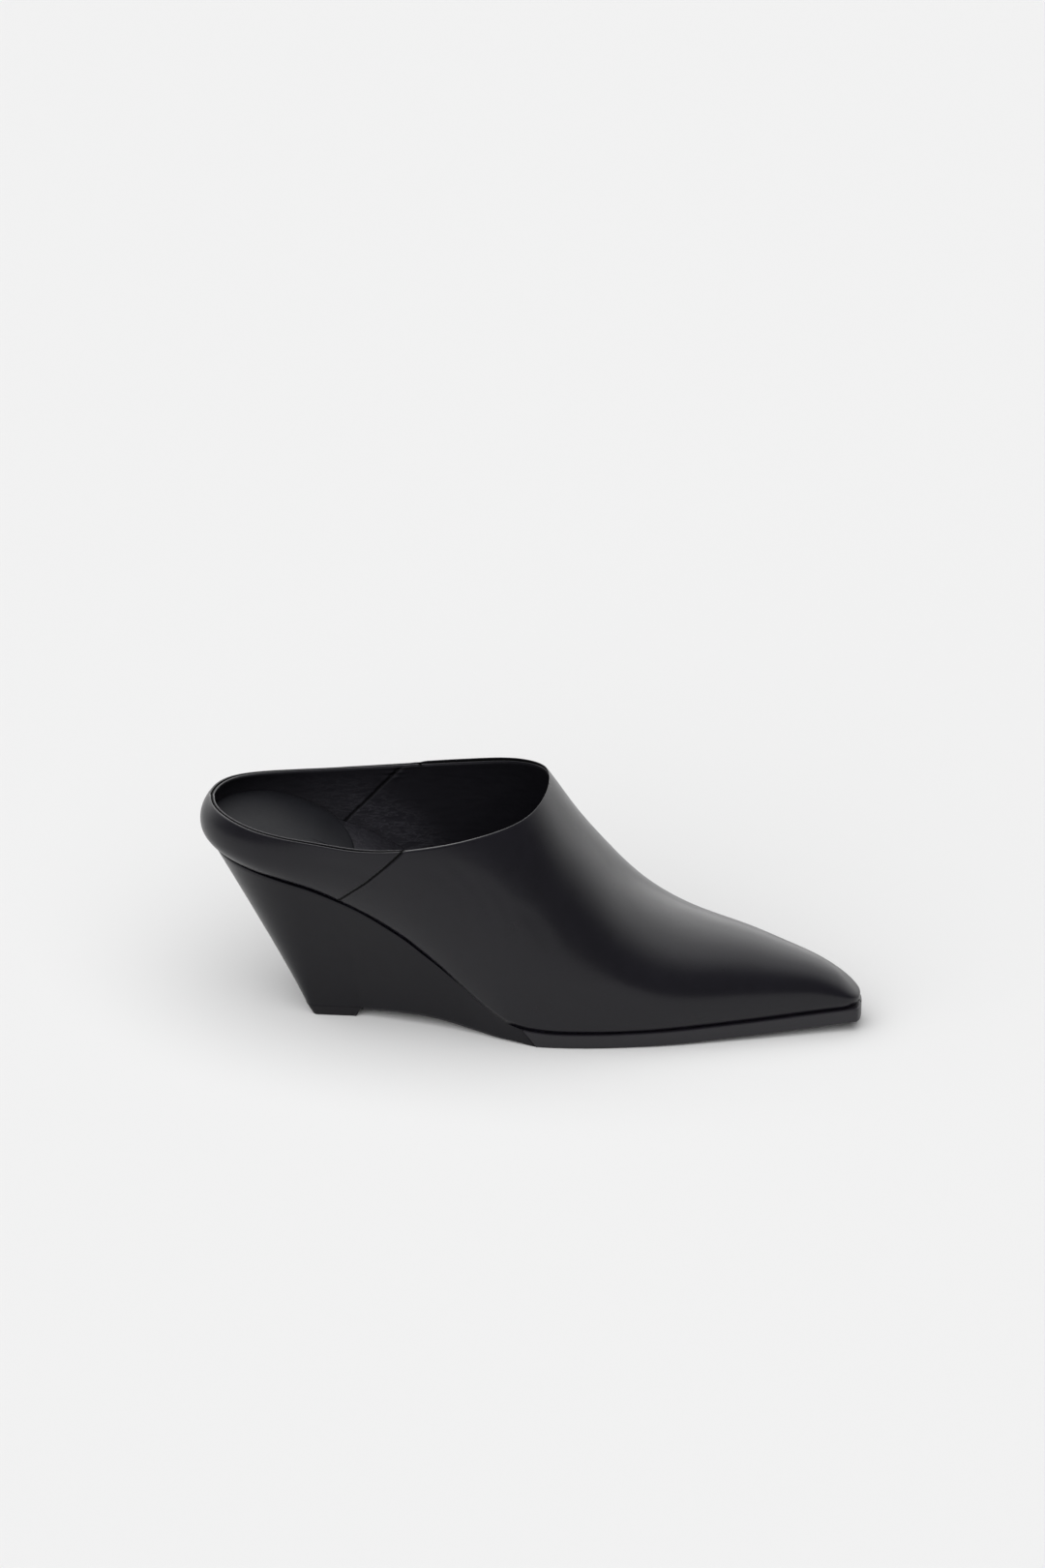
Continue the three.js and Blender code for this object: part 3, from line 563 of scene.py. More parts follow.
def dressed_side(shoe, side, x0, spread, is_open, throat_x0):
    """One side of the upper, stations by rows: outside, rim and inside, and the marks that the
    materials read. Seams and creases move each wall along its own normal and fade out at the
    vamp's ridge. The rim runs from the outer wall's top over to the inner wall's top."""
    outer, angle = upper_side(shoe, side, 0.0, x0, spread, is_open)
    inner, _ = upper_side(shoe, side, shoe.wall, x0, spread, is_open, angle)
    seam_out = seam_distance(outer)
    seam_in = seam_distance(inner, SEAM["lining_shift"])
    closing = smooth_step(x0, throat_x0 - SEAM["ridge_fade"], throat_x0)
    fade = 1 - closing[:, None] * np.linspace(0, 1, outer.shape[1]) ** 6
    cut, lips = SEAM_OUTSIDE["cut"], SEAM_OUTSIDE["lips"]
    push = crease_depth(outer, side) - cut["depth"] * bell(seam_out, cut["wide"])
    push += lips["height"] * bell(np.abs(seam_out) - lips["apart"], lips["wide"])
    outer = outer - side * grid_normals(outer) * (push * fade)[..., None]
    cut, fold, pucker = SEAM_INSIDE["cut"], SEAM_INSIDE["fold"], SEAM_INSIDE["pucker"]
    push = pucker["height"] * bell(seam_in, pucker["wide"]) * np.sin(inner[..., 2] * pucker["turn"])
    push += fold["height"] * bell(seam_in - fold["apart"], fold["wide"])
    push -= cut["depth"] * bell(seam_in, cut["wide"])
    inner = inner + side * grid_normals(inner) * push[..., None]

    at = outer[:, -1, 0]
    on_vamp = smooth_step(at, *RIM["band_ends"])[:, None]
    far = on_vamp if side > 0 else smooth_step(at, *RIM["front_starts"])[:, None]
    shares = {"band": 1 - on_vamp, "near": on_vamp - far, "far": far}
    rise = sum(np.array(RIM[part]) * share for part, share in shares.items())
    up = unit(outer[:, -1] - outer[:, -2])[:, None, :]
    span = (inner[:, -1] - outer[:, -1])[:, None, :]
    rim = outer[:, -1][:, None, :] + span * np.array(RIM["across"])[None, :, None]
    low = (inner[..., 2] - shoe.seat(inner[..., 0]) - WRINKLED["above_seat"]) / WRINKLED["high"]
    near = (inner[..., 0] - WRINKLED["back"]) / WRINKLED["long"]
    return {
        "outer": outer,
        "rim": rim + up * rise[:, :, None],
        "inner": inner,
        "seam_out": seam_out,
        "seam_in": seam_in,
        # shade: painted shade that darkens the rim's gap, from the band_shade and far_shade rows.
        "shade": sum(np.array(RIM[part + "_shade"]) * shares[part] for part in ("band", "far")),
        "wrinkled": np.exp(-(low**2) - near**2),
    }


def upper_mesh(shoe):
    """The whole upper as one closed mesh: outside, rolled rim, inside and bottom edge."""
    throat_x0 = throat_station(shoe)
    heel_steps, open_steps, vamp_steps, toe_steps = 34, 150, 96, 16
    turn = np.linspace(0, np.pi / 2, open_steps, endpoint=False)
    open_x = shoe.heel_round + (throat_x0 - shoe.heel_round) * np.sin(turn)
    vamp_x = np.linspace(throat_x0, shoe.length - shoe.toe_round, vamp_steps, endpoint=False)
    middle = np.concatenate([open_x, vamp_x])
    x0, spread = plan_stations(shoe, middle, heel_steps, toe_steps)
    station = np.arange(len(x0))
    is_open = station < heel_steps + open_steps
    at_throat = np.abs(station - heel_steps - open_steps) <= 4
    here, there = (
        dressed_side(shoe, side, x0, spread, is_open, throat_x0)
        | {"is_open": is_open, "at_throat": at_throat}
        for side in (1, -1)
    )
    # Once round the shoe: forwards on the outer side and back on the inner side.
    both = {key: np.concatenate([here[key], there[key][-2:0:-1]]) for key in here}
    outer, rim, inner = both["outer"], both["rim"], both["inner"]
    # One loop of rows round the wall's section: up the outside, over the rim, down the inside.
    loop = np.concatenate([outer, rim, inner[:, ::-1]], axis=1)
    columns, rows = loop.shape[:2]
    index = np.arange(columns * rows).reshape(columns, rows)
    after = np.roll(index, -1, axis=0)
    above, beyond = np.roll(index, -1, axis=1), np.roll(after, -1, axis=1)
    quads = np.stack([index, above, beyond, after], axis=-1)
    top_outer = outer.shape[1] - 1
    top_inner = top_outer + rim.shape[1] + 1
    row = np.arange(rows)
    # On the closed part of the vamp both sides meet in one ridge, without a rim.
    pair_open = both["is_open"] | np.roll(both["is_open"], -1)
    keep = (row < top_outer) | (row >= top_inner) | pair_open[:, None]
    lining = (row > top_outer + RIM["across"].index(RIM["lining"])) & (row < rows - 1)
    marks = np.broadcast_to(lining, keep.shape)
    # At the front of the opening close slanted columns meet wide straight ones. There the walls
    # take their normals from the surface: the cross product of its two directions.
    facing = unit(np.cross(
        np.roll(loop, -1, axis=1) - np.roll(loop, 1, axis=1),
        np.roll(loop, -1, axis=0) - np.roll(loop, 1, axis=0),
    ))
    on_wall = ((row > 0) & (row < top_outer)) | ((row > top_inner) & (row < rows - 1))
    facing[~(both["at_throat"][:, None] & on_wall)] = 0.0
    points, faces, face_marks, first = welded(
        shoe.placed(loop.reshape(-1, 3)), quads[keep], marks[keep].astype(int)
    )
    seam_out, seam_in, shade = both["seam_out"], both["seam_in"], both["shade"]
    on_rim = np.broadcast_to(seam_out[:, -1:], shade.shape)
    # The rim rows carry the painted shade of their gap; the walls carry none.
    layers = {
        "seam": [seam_out, on_rim, seam_in[:, ::-1]],
        "shade": [0 * seam_out, shade, 0 * seam_in],
        "wrinkled": [0 * seam_out, 0 * shade, both["wrinkled"][:, ::-1]],
    }
    layers = {
        key: np.concatenate(parts, axis=1).reshape(-1)[first] for key, parts in layers.items()
    }
    return points, faces, face_marks, layers, facing.reshape(-1, 3)[first]


def closed_loop(x, centre, half):
    """A closed plan outline, counter-clockwise seen from above, from stations from back to
    front: the inner side forwards and the outer side back again."""
    inner = np.stack([x, centre - half], axis=1)
    outer = np.stack([x, centre + half], axis=1)[::-1]
    return np.concatenate([inner, outer])


def with_ends(loop, steps=14):
    """Adds points across the loop's straight ends, where its two sides meet."""
    n = len(loop) // 2
    share = np.linspace(0, 1, steps + 1)[1:-1, None]
    across = loop[n - 1] + (loop[n] - loop[n - 1]) * share
    back = loop[-1] + (loop[0] - loop[-1]) * share
    straight_back = np.linalg.norm(loop[-1] - loop[0]) > 1.0
    return np.concatenate([loop[:n], across, loop[n:]] + ([back] if straight_back else []))


def inward(loop):
    """Unit normals of a closed plan loop that point into it."""
    step = np.roll(loop, -1, axis=0) - np.roll(loop, 1, axis=0)
    return unit(np.stack([-step[:, 1], step[:, 0]], axis=1))


def loft(
    shoe, top_loop, low_loop, top_z, low_z, spine, top_round, low_round, rows, cap=8, lip=None
):
    """A closed body between two plan loops: cap, quarter round, straight wall, quarter round and
    cap. The caps run from the loops in to a spine: for each point of a loop the nearest point of
    the middle line between spine[0] and spine[1]. Heights follow each point's distance along.
    A lip hangs the lower edge down by its own amount for each point of the lower loop."""
    quarter = np.linspace(0, np.pi / 2, 5)
    top_round = np.broadcast_to(top_round, len(top_loop))
    low_round = np.broadcast_to(low_round, len(low_loop))
    hang = 0.0 if lip is None else lip
    top_in = inward(top_loop) * top_round[:, None]
    low_in = inward(low_loop) * low_round[:, None]
    rings = []

    def ring(plan, height):
        rings.append(np.concatenate([plan, height[:, None]], axis=1))

    def cap_rings(loop, edge, shares, z):
        x = np.clip(loop[:, 0], spine[0], spine[1])
        heart = np.stack([x, spine[2](x)], axis=1)
        for share in shares:
            plan = heart + (edge - heart) * share
            ring(plan, z(plan[:, 0]))

    cap_rings(top_loop, top_loop + top_in, np.linspace(0, 1, cap, endpoint=False), top_z)
    for turn in quarter:
        plan = top_loop + top_in * (1 - math.sin(turn))
        ring(plan, top_z(plan[:, 0]) - top_round * (1 - math.cos(turn)))
    high = top_z(top_loop[:, 0]) - top_round
    low = low_z(low_loop[:, 0]) + low_round - hang
    for share in np.linspace(0, 1, rows + 2)[1:-1]:
        ring(top_loop + (low_loop - top_loop) * share, high + (low - high) * share)
    for turn in quarter[::-1]:
        plan = low_loop + low_in * (1 - math.sin(turn))
        ring(plan, low_z(plan[:, 0]) + low_round * (1 - math.cos(turn)) - hang)
    edge = low_loop + low_in
    if lip is not None:
        edge = low_loop + inward(low_loop) * LIP_WIDE
        ring(edge, low_z(edge[:, 0]))
    cap_rings(low_loop, edge, np.linspace(1, 0, cap + 1)[1:], low_z)
    grid = np.stack(rings)
    count, around = grid.shape[:2]
    index = np.arange(count * around).reshape(count, around)
    beside = np.roll(index, -1, axis=1)
    quads = np.stack([index[:-1], index[1:], beside[1:], beside[:-1]], axis=-1).reshape(-1, 4)
    points, faces, _, _ = welded(shoe.placed(grid.reshape(-1, 3)), quads)
    return points, faces


def base_plan(shoe, corner_steps, side_steps, whole):
    """The wedge's base from the middle of its back forwards: distance along and half width. Its
    corner is a quarter superellipse. The breast's own end is there if it is whole."""
    turn = np.linspace(0, np.pi / 2, corner_steps, endpoint=False)
    beside = np.linspace(0, 1, side_steps, endpoint=whole)
    power = 2 / shoe.base_squareness
    start = shoe.base_back + shoe.base_round
    edge = float(shoe.arch_share(np.array(shoe.breast), "half"))
    corner_x = shoe.base_back + shoe.base_round * (1 - np.cos(turn) ** power)
    corner_half = shoe.base_half * np.sin(turn) ** power
    x = np.concatenate([corner_x, start + beside * (shoe.breast - start)])
    return x, np.concatenate([corner_half, shoe.base_half + beside * (edge - shoe.base_half)])


def wedge_mesh(shoe):
    """The wedge: straight lines from its top outline to its lower outline."""
    corner_steps, side_steps, along = 34, 20, np.linspace(0, 1, 81)
    turn = np.linspace(0, np.pi / 2, corner_steps, endpoint=False)
    beside = np.linspace(0, 1, side_steps, endpoint=False)
    at_breast = shoe.heel_round + shoe.beside_base * (shoe.wedge_front - shoe.heel_round)
    top_back = shoe.seat_back + shoe.wedge_top_inset
    top_x = np.concatenate([
        top_back + (shoe.heel_round - top_back) * (1 - np.cos(turn)),
        shoe.heel_round + beside * (at_breast - shoe.heel_round),
        at_breast + along * (shoe.wedge_front - at_breast),
    ])
    spread = np.concatenate([np.sin(turn), np.ones(len(beside) + len(along))])
    base_x, base_half = base_plan(shoe, corner_steps, side_steps, whole=False)
    arch_x = shoe.breast + along * (shoe.wedge_toe - shoe.breast)
    low_x = np.concatenate([base_x, arch_x])
    low_half = np.concatenate([base_half, shoe.arch_share(arch_x, "half")])
    low_centre = np.where(low_x > shoe.breast, shoe.arch_share(low_x, "centre"), 0.0)
    top = with_ends(closed_loop(top_x, shoe.centre(top_x), shoe.half(top_x) * spread))
    low = with_ends(closed_loop(low_x, low_centre, low_half))
    top_round = smooth_curve(JOIN, "edge", top[:, 0])
    lip = shoe.lip * smooth_step(low[:, 0], shoe.lip_start, shoe.wedge_toe)
    spine = (30.0, 120.0, shoe.centre)
    return loft(
        shoe, top, low, shoe.seat, shoe.arch, spine, top_round, low_round=0.12, rows=36, lip=lip
    )


def sole_mesh(shoe):
    """The forepart slab, cut back on a slant under the wedge's tip, and the thin tongue that
    runs on under the wedge."""
    fore_top = shoe.wedge_front + shoe.gap
    fore_low = shoe.wedge_toe + shoe.gap
    toe_x, toe_spread = squared_toe(shoe, shoe.sole_corner, 12)

    def fore_loop(start, steps=110):
        side_x = np.linspace(start, shoe.length - shoe.sole_corner, steps, endpoint=False)
        x = np.concatenate([side_x, toe_x])
        half = shoe.half(x) * np.concatenate([np.ones(steps), toe_spread])
        return with_ends(closed_loop(x, shoe.centre(x), half))

    top_loop, low_loop = fore_loop(fore_top), fore_loop(fore_low)
    # The lower edge is sharp beside the wedge's tip and rounder from there on.
    rounds = {
        "top_round": 0.45,
        "low_round": np.interp(low_loop[:, 0], [fore_low + 1.0, fore_low + 9.0], [0.1, 0.55]),
    }
    spine = (140.0, shoe.length - 6.0, shoe.centre)
    fore = loft(shoe, top_loop, low_loop, shoe.seat, shoe.bottom, spine, **rounds, rows=6)

    def centre(at):
        return shoe.arch_share(at, "centre")

    def top(at):
        return shoe.arch(at) - shoe.gap

    def low(at):
        return np.maximum(top(at) - shoe.shank, 0.0)

    x = np.linspace(shoe.breast + shoe.gap, fore_low - 0.1, 80)
    loop = with_ends(closed_loop(x, centre(x), shoe.arch_share(x, "half") - shoe.shank_margin))
    spine = (shoe.breast + shoe.gap + 8.0, fore_low - 8.0, centre)
    tongue = loft(shoe, loop, loop, top, low, spine, top_round=0.1, low_round=0.3, rows=2)
    # Both closed bodies as one set of points and faces.
    faces = np.concatenate([fore[1], tongue[1] + len(fore[0])])
    return np.concatenate([fore[0], tongue[0]]), faces


def top_piece_mesh(shoe):
    """The slab that the wedge stands on. Its sides carry on the wedge's slants to the floor."""
    x, half = base_plan(shoe, 26, 12, whole=True)
    low_x = shoe.rest_back + (x - shoe.base_back) * shoe.rest_length / shoe.base_length
    low_half = half * (1 - shoe.base_side_lean / shoe.base_half)
    top_loop = with_ends(closed_loop(x, 0 * x, half))
    low_loop = with_ends(closed_loop(low_x, 0 * x, low_half))
    rounds = {"top_round": 0.04, "low_round": 0.35}

    def top(at):
        return np.full_like(at, shoe.top_piece + shoe.gap - rounds["top_round"])

    spine = (shoe.base_back + shoe.base_round + 4, shoe.breast - 6, np.zeros_like)
    return loft(shoe, top_loop, low_loop, top, np.zeros_like, spine, **rounds, rows=5)


def insole_mesh(shoe):
    """The insole: a plate of even thickness on the seat, inside the upper's bottom edge."""
    inset = shoe.margin + shoe.wall + shoe.clearance
    middle = np.linspace(shoe.heel_round, shoe.length - shoe.toe_round, 150, endpoint=False)
    x, spread = plan_stations(shoe, middle, 30, 12)
    at = inset + x / shoe.length * (shoe.length - shoe.toe_inset - 2 * inset)
    loop = closed_loop(at, shoe.centre(x), (shoe.half(x) - inset) * spread)

    def low(where):
        return shoe.seat(where) + shoe.gap

    def high(where):
        return low(where) + shoe.insole

    spine = (30.0, shoe.length - 14.0, shoe.centre)
    return loft(shoe, loop, loop, high, low, spine, top_round=0.5, low_round=0.2, rows=2, cap=14)


def heel_pad_mesh(shoe):
    """The heel pad: thicker at the back, with softly rounded edges and a round front end. Behind
    its middle it leans out over its foot towards the wall, and its edge rises with the square of
    the distance from its middle line."""
    inset = shoe.margin + shoe.wall + shoe.clearance + PAD["clearance"]
    turn = np.linspace(0, np.pi / 2, 40, endpoint=False)
    ahead = np.linspace(0, np.pi / 2, 40)
    half_back = float(shoe.half(np.array(0.0))) - inset
    half_front = float(shoe.half(np.array(shoe.heel_round))) - inset
    x = np.concatenate([
        shoe.seat_back + inset + (shoe.heel_round - shoe.seat_back) * (1 - np.cos(turn)),
        shoe.heel_round + inset + (shoe.pad_length - shoe.heel_round - inset) * np.sin(ahead),
    ])
    half = np.concatenate([half_back * np.sin(turn), half_front * np.maximum(np.cos(ahead), 0)])
    loop = closed_loop(x, 0 * x, half)
    leaning = PAD["lean"] * (1 - smooth_step(loop[:, 0], *PAD["lean_fades"]))
    wide = loop - inward(loop) * leaning[:, None]

    def floor(at):
        return shoe.seat(at) + 2 * shoe.gap + shoe.insole

    def high(at):
        return floor(at) + shoe.pad_back + (shoe.pad_front - shoe.pad_back) * at / shoe.pad_length

    spine = (28.0, 40.0, np.zeros_like)
    rounds = {"top_round": 0.9, "low_round": 0.15}
    points, faces = loft(shoe, wide, loop, high, floor, spine, **rounds, rows=4, cap=20)
    at = points[:, 0] / MM + shoe.origin
    share = np.clip((points[:, 2] / MM - floor(at)) / shoe.pad_back, 0, 1)
    reach = np.hypot((at - PAD["middle"]) / PAD["middle"], points[:, 1] / MM / PAD["half"]) ** 2
    points[:, 2] += PAD["rise"] * MM * share * reach * (1 - smooth_step(at, *PAD["rise_fades"]))
    return points, faces


class Socket:
    """Wraps a shader socket so that Python expressions build Math nodes."""

    def __init__(self, tree, socket):
        self.tree = tree
        self.socket = socket

    def math(self, operation, *others, before=()):
        node = self.tree.nodes.new("ShaderNodeMath")
        node.operation = operation
        for slot, value in enumerate((*before, self, *others)):
            if isinstance(value, Socket):
                self.tree.links.new(value.socket, node.inputs[slot])
            else:
                node.inputs[slot].default_value = value
        return Socket(self.tree, node.outputs[0])

    def __add__(self, other):
        return self.math("ADD", other)

    __radd__ = __add__

    def __mul__(self, other):
        return self.math("MULTIPLY", other)

    __rmul__ = __mul__

    def __sub__(self, other):
        return self.math("SUBTRACT", other)

    def __rsub__(self, other):
        return self.math("SUBTRACT", before=(other,))

    def __truediv__(self, other):
        return self.math("DIVIDE", other)

    def __pow__(self, other):
        return self.math("POWER", other)

    def __abs__(self):
        return self.math("ABSOLUTE")

    def clamped(self):
        return self.math("MAXIMUM", 0.0).math("MINIMUM", 1.0)

    def band(self, centre, width):
        """1 on the centre value, falling off to 0 at the width, as a smooth bell."""
        return (1.0 - abs((self - centre) / width)).clamped() ** 1.5


class Shader:
    """The node tree of a material or world, with one method that takes any node's type, settings
    and socket values."""

    def __init__(self, owner):
        owner.use_nodes = True
        self.owner = owner
        self.tree = owner.node_tree
        self.places = self.node("ShaderNodeTexCoord").outputs

    def fill(self, socket, value):
        """Links a socket to another one, or gives it a number, vector or colour."""
        if isinstance(value, Socket):
            value = value.socket
        if isinstance(value, bpy.types.NodeSocket):
            self.tree.links.new(value, socket)
        else:
            socket.default_value = value

    def node(self, kind, settings=None, **inputs):
        made = self.tree.nodes.new(kind)
        for key, value in (settings or {}).items():
            setattr(made, key, value)
        for key, value in inputs.items():
            self.fill(made.inputs[key.replace("_", " ")], value)
        return made

    def noise(self, scale, detail=2.0, roughness=0.5, stretch=None):
        """Soft noise on the piece's own coordinates, or on those scaled apart along each axis."""
        place = self.places["Object"]
        if stretch is not None:
            place = self.node("ShaderNodeMapping", Vector=place, Scale=stretch).outputs["Vector"]
        made = self.node(
            "ShaderNodeTexNoise", Vector=place, Scale=scale, Detail=detail, Roughness=roughness
        )
        return Socket(self.tree, made.outputs["Fac"])

    def cells(self, scale):
        """Distance to the nearest of scattered points."""
        made = self.node("ShaderNodeTexVoronoi", Vector=self.places["Object"], Scale=scale)
        return Socket(self.tree, made.outputs["Distance"])

    def attribute(self, name):
        made = self.node("ShaderNodeAttribute", {"attribute_name": name})
        return Socket(self.tree, made.outputs["Fac"])

    def mixed(self, factor, first, second):
        """A colour between two others."""
        made = self.node("ShaderNodeMix", {"data_type": "RGBA"})
        for slot, value in ((0, factor), (6, first), (7, second)):
            self.fill(made.inputs[slot], value)
        return made.outputs[2]

    def toned(self, factor, color, dark, light):
        """A colour between a dark and a light share of one colour."""
        return self.mixed(factor, *((*(share * c for c in color), 1.0) for share in (dark, light)))

    def finish(self, color, roughness, height, strength, distance, coat=0.0, level=0.5):
        """Fills the material's surface and returns the material."""
        bump = self.node("ShaderNodeBump", Height=height, Strength=strength, Distance=distance)
        values = {
            "Base Color": color,
            "Roughness": roughness,
            "Metallic": 0.0,
            "Specular IOR Level": level,
            "Coat Weight": coat,
            "Coat Roughness": 0.22,
            "Normal": bump.outputs["Normal"],
        }
        for key, value in values.items():
            self.fill(self.tree.nodes["Principled BSDF"].inputs[key], value)
        return self.owner


def material_shader(name):
    """A new material's shader, in place of an earlier one of that name."""
    old = bpy.data.materials.get(name)
    if old is not None:
        bpy.data.materials.remove(old)
    return Shader(bpy.data.materials.new(name))


def smooth_leather(name, look, with_seam=True, strength=1.0):
    """Smooth black calf: fine pores, a very slow waviness, faint rubbing and a satin shine. The
    side seam is a dark valley with a slightly worn lip on both sides, and the rim's gap gets
    painted shade. Strength scales the colour and the shine."""
    shader = material_shader(name)
    pores = shader.cells(2600.0)
    grain = shader.noise(1500.0, 3.0, 0.6)
    waves = shader.noise(55.0, 2.0, 0.45)
    rubbing = shader.noise(140.0, 4.0, 0.6)
    height = pores * 0.10 + grain * 0.16 + waves * 1.1
    rough = look.leather_roughness + (rubbing - 0.5) * 0.10 + (grain - 0.5) * 0.05
    tone = (rubbing * 0.6 + waves * 0.4).clamped()
    color = shader.toned(tone, look.leather_color, 0.75 * strength, 1.45 * strength)
    coat = 0.12 * strength
    if with_seam:
        seam = shader.attribute("seam")
        line = (seam.band(0.0, 0.62) * 2.2).clamped()
        lips = seam.band(0.8, 0.5) + seam.band(-0.8, 0.5)
        # The seam's dark line, and painted shade in the rim's gap: both near black, rougher and
        # without coat.
        seam_and_painted_shade = (line + shader.attribute("shade")).clamped()
        color = shader.mixed(seam_and_painted_shade, color, (0.001, 0.001, 0.001, 1.0))
        rough = rough + seam_and_painted_shade * 0.7 - lips * 0.04
        height = height - line * 4.0 + lips * 0.5
        coat = coat * (1.0 - seam_and_painted_shade)
    shine = strength * look.leather_shine
    return shader.finish(color, rough, height, 0.5, 0.00025, coat, shine)


def lining_leather(name, look):
    """Thin lining leather: matte, with fine wrinkles that run along the foot, and a seam. The
    wrinkles' crests get painted highlights, and the rim's gap gets painted shade.
    """
    shader = material_shader(name)
    wrinkle = shader.noise(300.0, 4.0, 0.62, stretch=(0.4, 1.0, 1.9))
    patches = shader.noise(60.0)
    pores = shader.noise(1800.0, 2.0, 0.6)
    wrinkled = shader.attribute("wrinkled")
    line = (shader.attribute("seam").band(0.0, 0.95) * 1.6).clamped()
    # The seam's dark line, and painted shade in the rim's gap.
    seam_and_painted_shade = (line + shader.attribute("shade")).clamped()
    # Thin ridges along the wrinkles: raised in the bump, and lightened as a painted highlight.
    crest_and_highlight = (1.0 - abs(wrinkle - 0.5) * 26.0).clamped() * wrinkled
    height = wrinkle * (0.12 + 0.3 * patches + wrinkled * 1.6)
    height = height + crest_and_highlight * 1.6 + pores * 0.2 - line * 4.0
    rough = 0.56 + (wrinkle - 0.5) * 0.2 - wrinkled * 0.1 + seam_and_painted_shade * 0.25
    # Lighter where wrinkled, and lighter still on the crests as a painted highlight; darker on the
    # seam's line and with painted shade in the rim's gap.
    tone = 0.16 + (wrinkle - 0.5) * 0.15 + wrinkled * 0.17 + crest_and_highlight * 0.5
    tone = (tone * (1.0 - seam_and_painted_shade)).clamped()
    color = shader.toned(tone, look.lining_color, 0.3, 4.4)
    return shader.finish(color, rough, height, 0.55, 0.0004, level=0.35)


def sole_finish(name, look, roughness, strength=1.0):
    """Black sole: dull satin, with faint marks of trimming that run along its edge."""
    shader = material_shader(name)
    trimming = shader.noise(900.0, 3.0, 0.6, stretch=(0.08, 0.08, 1.4))
    specks = shader.noise(1300.0)
    patches = shader.noise(70.0, 3.0)
    height = trimming * 0.5 + specks * 0.2
    rough = roughness + (patches - 0.5) * 0.12
    color = shader.toned(patches, look.sole_color, 0.8 * strength, 1.3 * strength)
    return shader.finish(color, rough, height, 0.35, 0.0002, level=0.5 * strength)


def pad_leather(name, look):
    """The heel pad's leather: a little lighter than the lining, smooth and soft."""
    shader = material_shader(name)
    grain = shader.noise(1300.0, 3.0, 0.6)
    dents = shader.noise(75.0)
    height = grain * 0.25 + dents * 1.2
    rough = 0.52 + (dents - 0.5) * 0.2
    color = shader.toned(dents, look.pad_color, 0.7, 1.35)
    return shader.finish(color, rough, height, 0.4, 0.0004, level=0.1)


def length_value(name, description, default):
    """A length in metres for a group of sizes."""
    return bpy.props.FloatProperty(
        name=name, description=description, default=default, unit="LENGTH"
    )


def colour_value(name, description, default):
    """A colour for a group of looks."""
    return bpy.props.FloatVectorProperty(
        name=name, description=description, default=default, subtype="COLOR", min=0.0, max=1.0
    )


def share_value(name, description, default):
    """A number from 0 to 1 for a group of looks."""
    return bpy.props.FloatProperty(
        name=name, description=description, default=default, subtype="FACTOR", min=0.0, max=1.0
    )


class MuleSizes(bpy.types.PropertyGroup):
    """The shoe's main sizes."""

    shoe_length: length_value("Length", "Back of the heel to the squared toe", 0.255)
    ball_width: length_value("Ball width", "Width of the sole across the ball", 0.0777)
    seat_height: length_value("Seat height", "Floor to the top of the wedge at the back", 0.068)
    band_height: length_value("Heel band", "Height of the band above the wedge at the back", 0.0163)
    throat_lift: length_value("Throat lift", "Front of the opening above its back", 0.0104)
    throat_along: length_value("Throat", "Back of the heel to the front of the opening", 0.1332)
    toe_spring: length_value("Toe spring", "Height of the sole's tip above the floor", 0.004)
    sole_thickness: length_value("Sole", "Thickness of the forepart sole", 0.0059)
    upper_wall: length_value("Wall", "Thickness of the upper", 0.0019)
    insole_thickness: length_value("Insole", "Thickness of the insole", 0.0034)
    pad_back: length_value("Pad, back", "Thickness of the heel pad at its back", 0.0032)
    pad_front: length_value("Pad, front", "Thickness of the heel pad at its front", 0.0016)
    pad_length: length_value("Pad length", "Back of the heel to the front of the heel pad", 0.058)


class MuleLook(bpy.types.PropertyGroup):
    """The shoe's colours and shine."""

    leather_color: colour_value("Leather", "Colour of the smooth leather", (0.0046, 0.0042, 0.0066))
    lining_color: colour_value("Lining", "Colour of the lining leather", (0.0100, 0.0096, 0.0122))
    pad_color: colour_value("Heel pad", "Colour of the heel pad", (0.0080, 0.0082, 0.0100))
    sole_color: colour_value("Sole", "Colour of the sole and top piece", (0.0100, 0.0092, 0.0122))
    leather_roughness: share_value("Leather roughness", "0 is a mirror, 1 is matte", 0.3)
    leather_shine: share_value("Leather shine", "Strength of the leather's reflections", 0.28)


class MuleUpper(bpy.types.Operator):
    """Builds the upper with its rolled collar, side seams and soft creases"""

    bl_idname = "mule.upper"
    bl_label = "Upper"

    def execute(self, context):
        look = context.scene.mule_look
        points, faces, *layers = upper_mesh(Shoe(context.scene.mule_sizes))
        materials = [smooth_leather("upper_leather", look), lining_leather("upper_lining", look)]
        put_piece("upper_finished", "upper_leather", "upper", points, faces, materials, *layers)
        return {"FINISHED"}


class MuleWedge(bpy.types.Operator):
    """Builds the leather-covered wedge"""

    bl_idname = "mule.wedge"
    bl_label = "Wedge"

    def execute(self, context):
        mesh = wedge_mesh(Shoe(context.scene.mule_sizes))
        # A darker, less shiny copy of the upper's leather: painted shade on the wedge, whose sides
        # lean in and face down towards the floor.
        leather = smooth_leather("wedge_leather", context.scene.mule_look, False, strength=0.8)
        put_piece("wedge_finished", "wedge_leather", "wedge", *mesh, [leather])
        return {"FINISHED"}


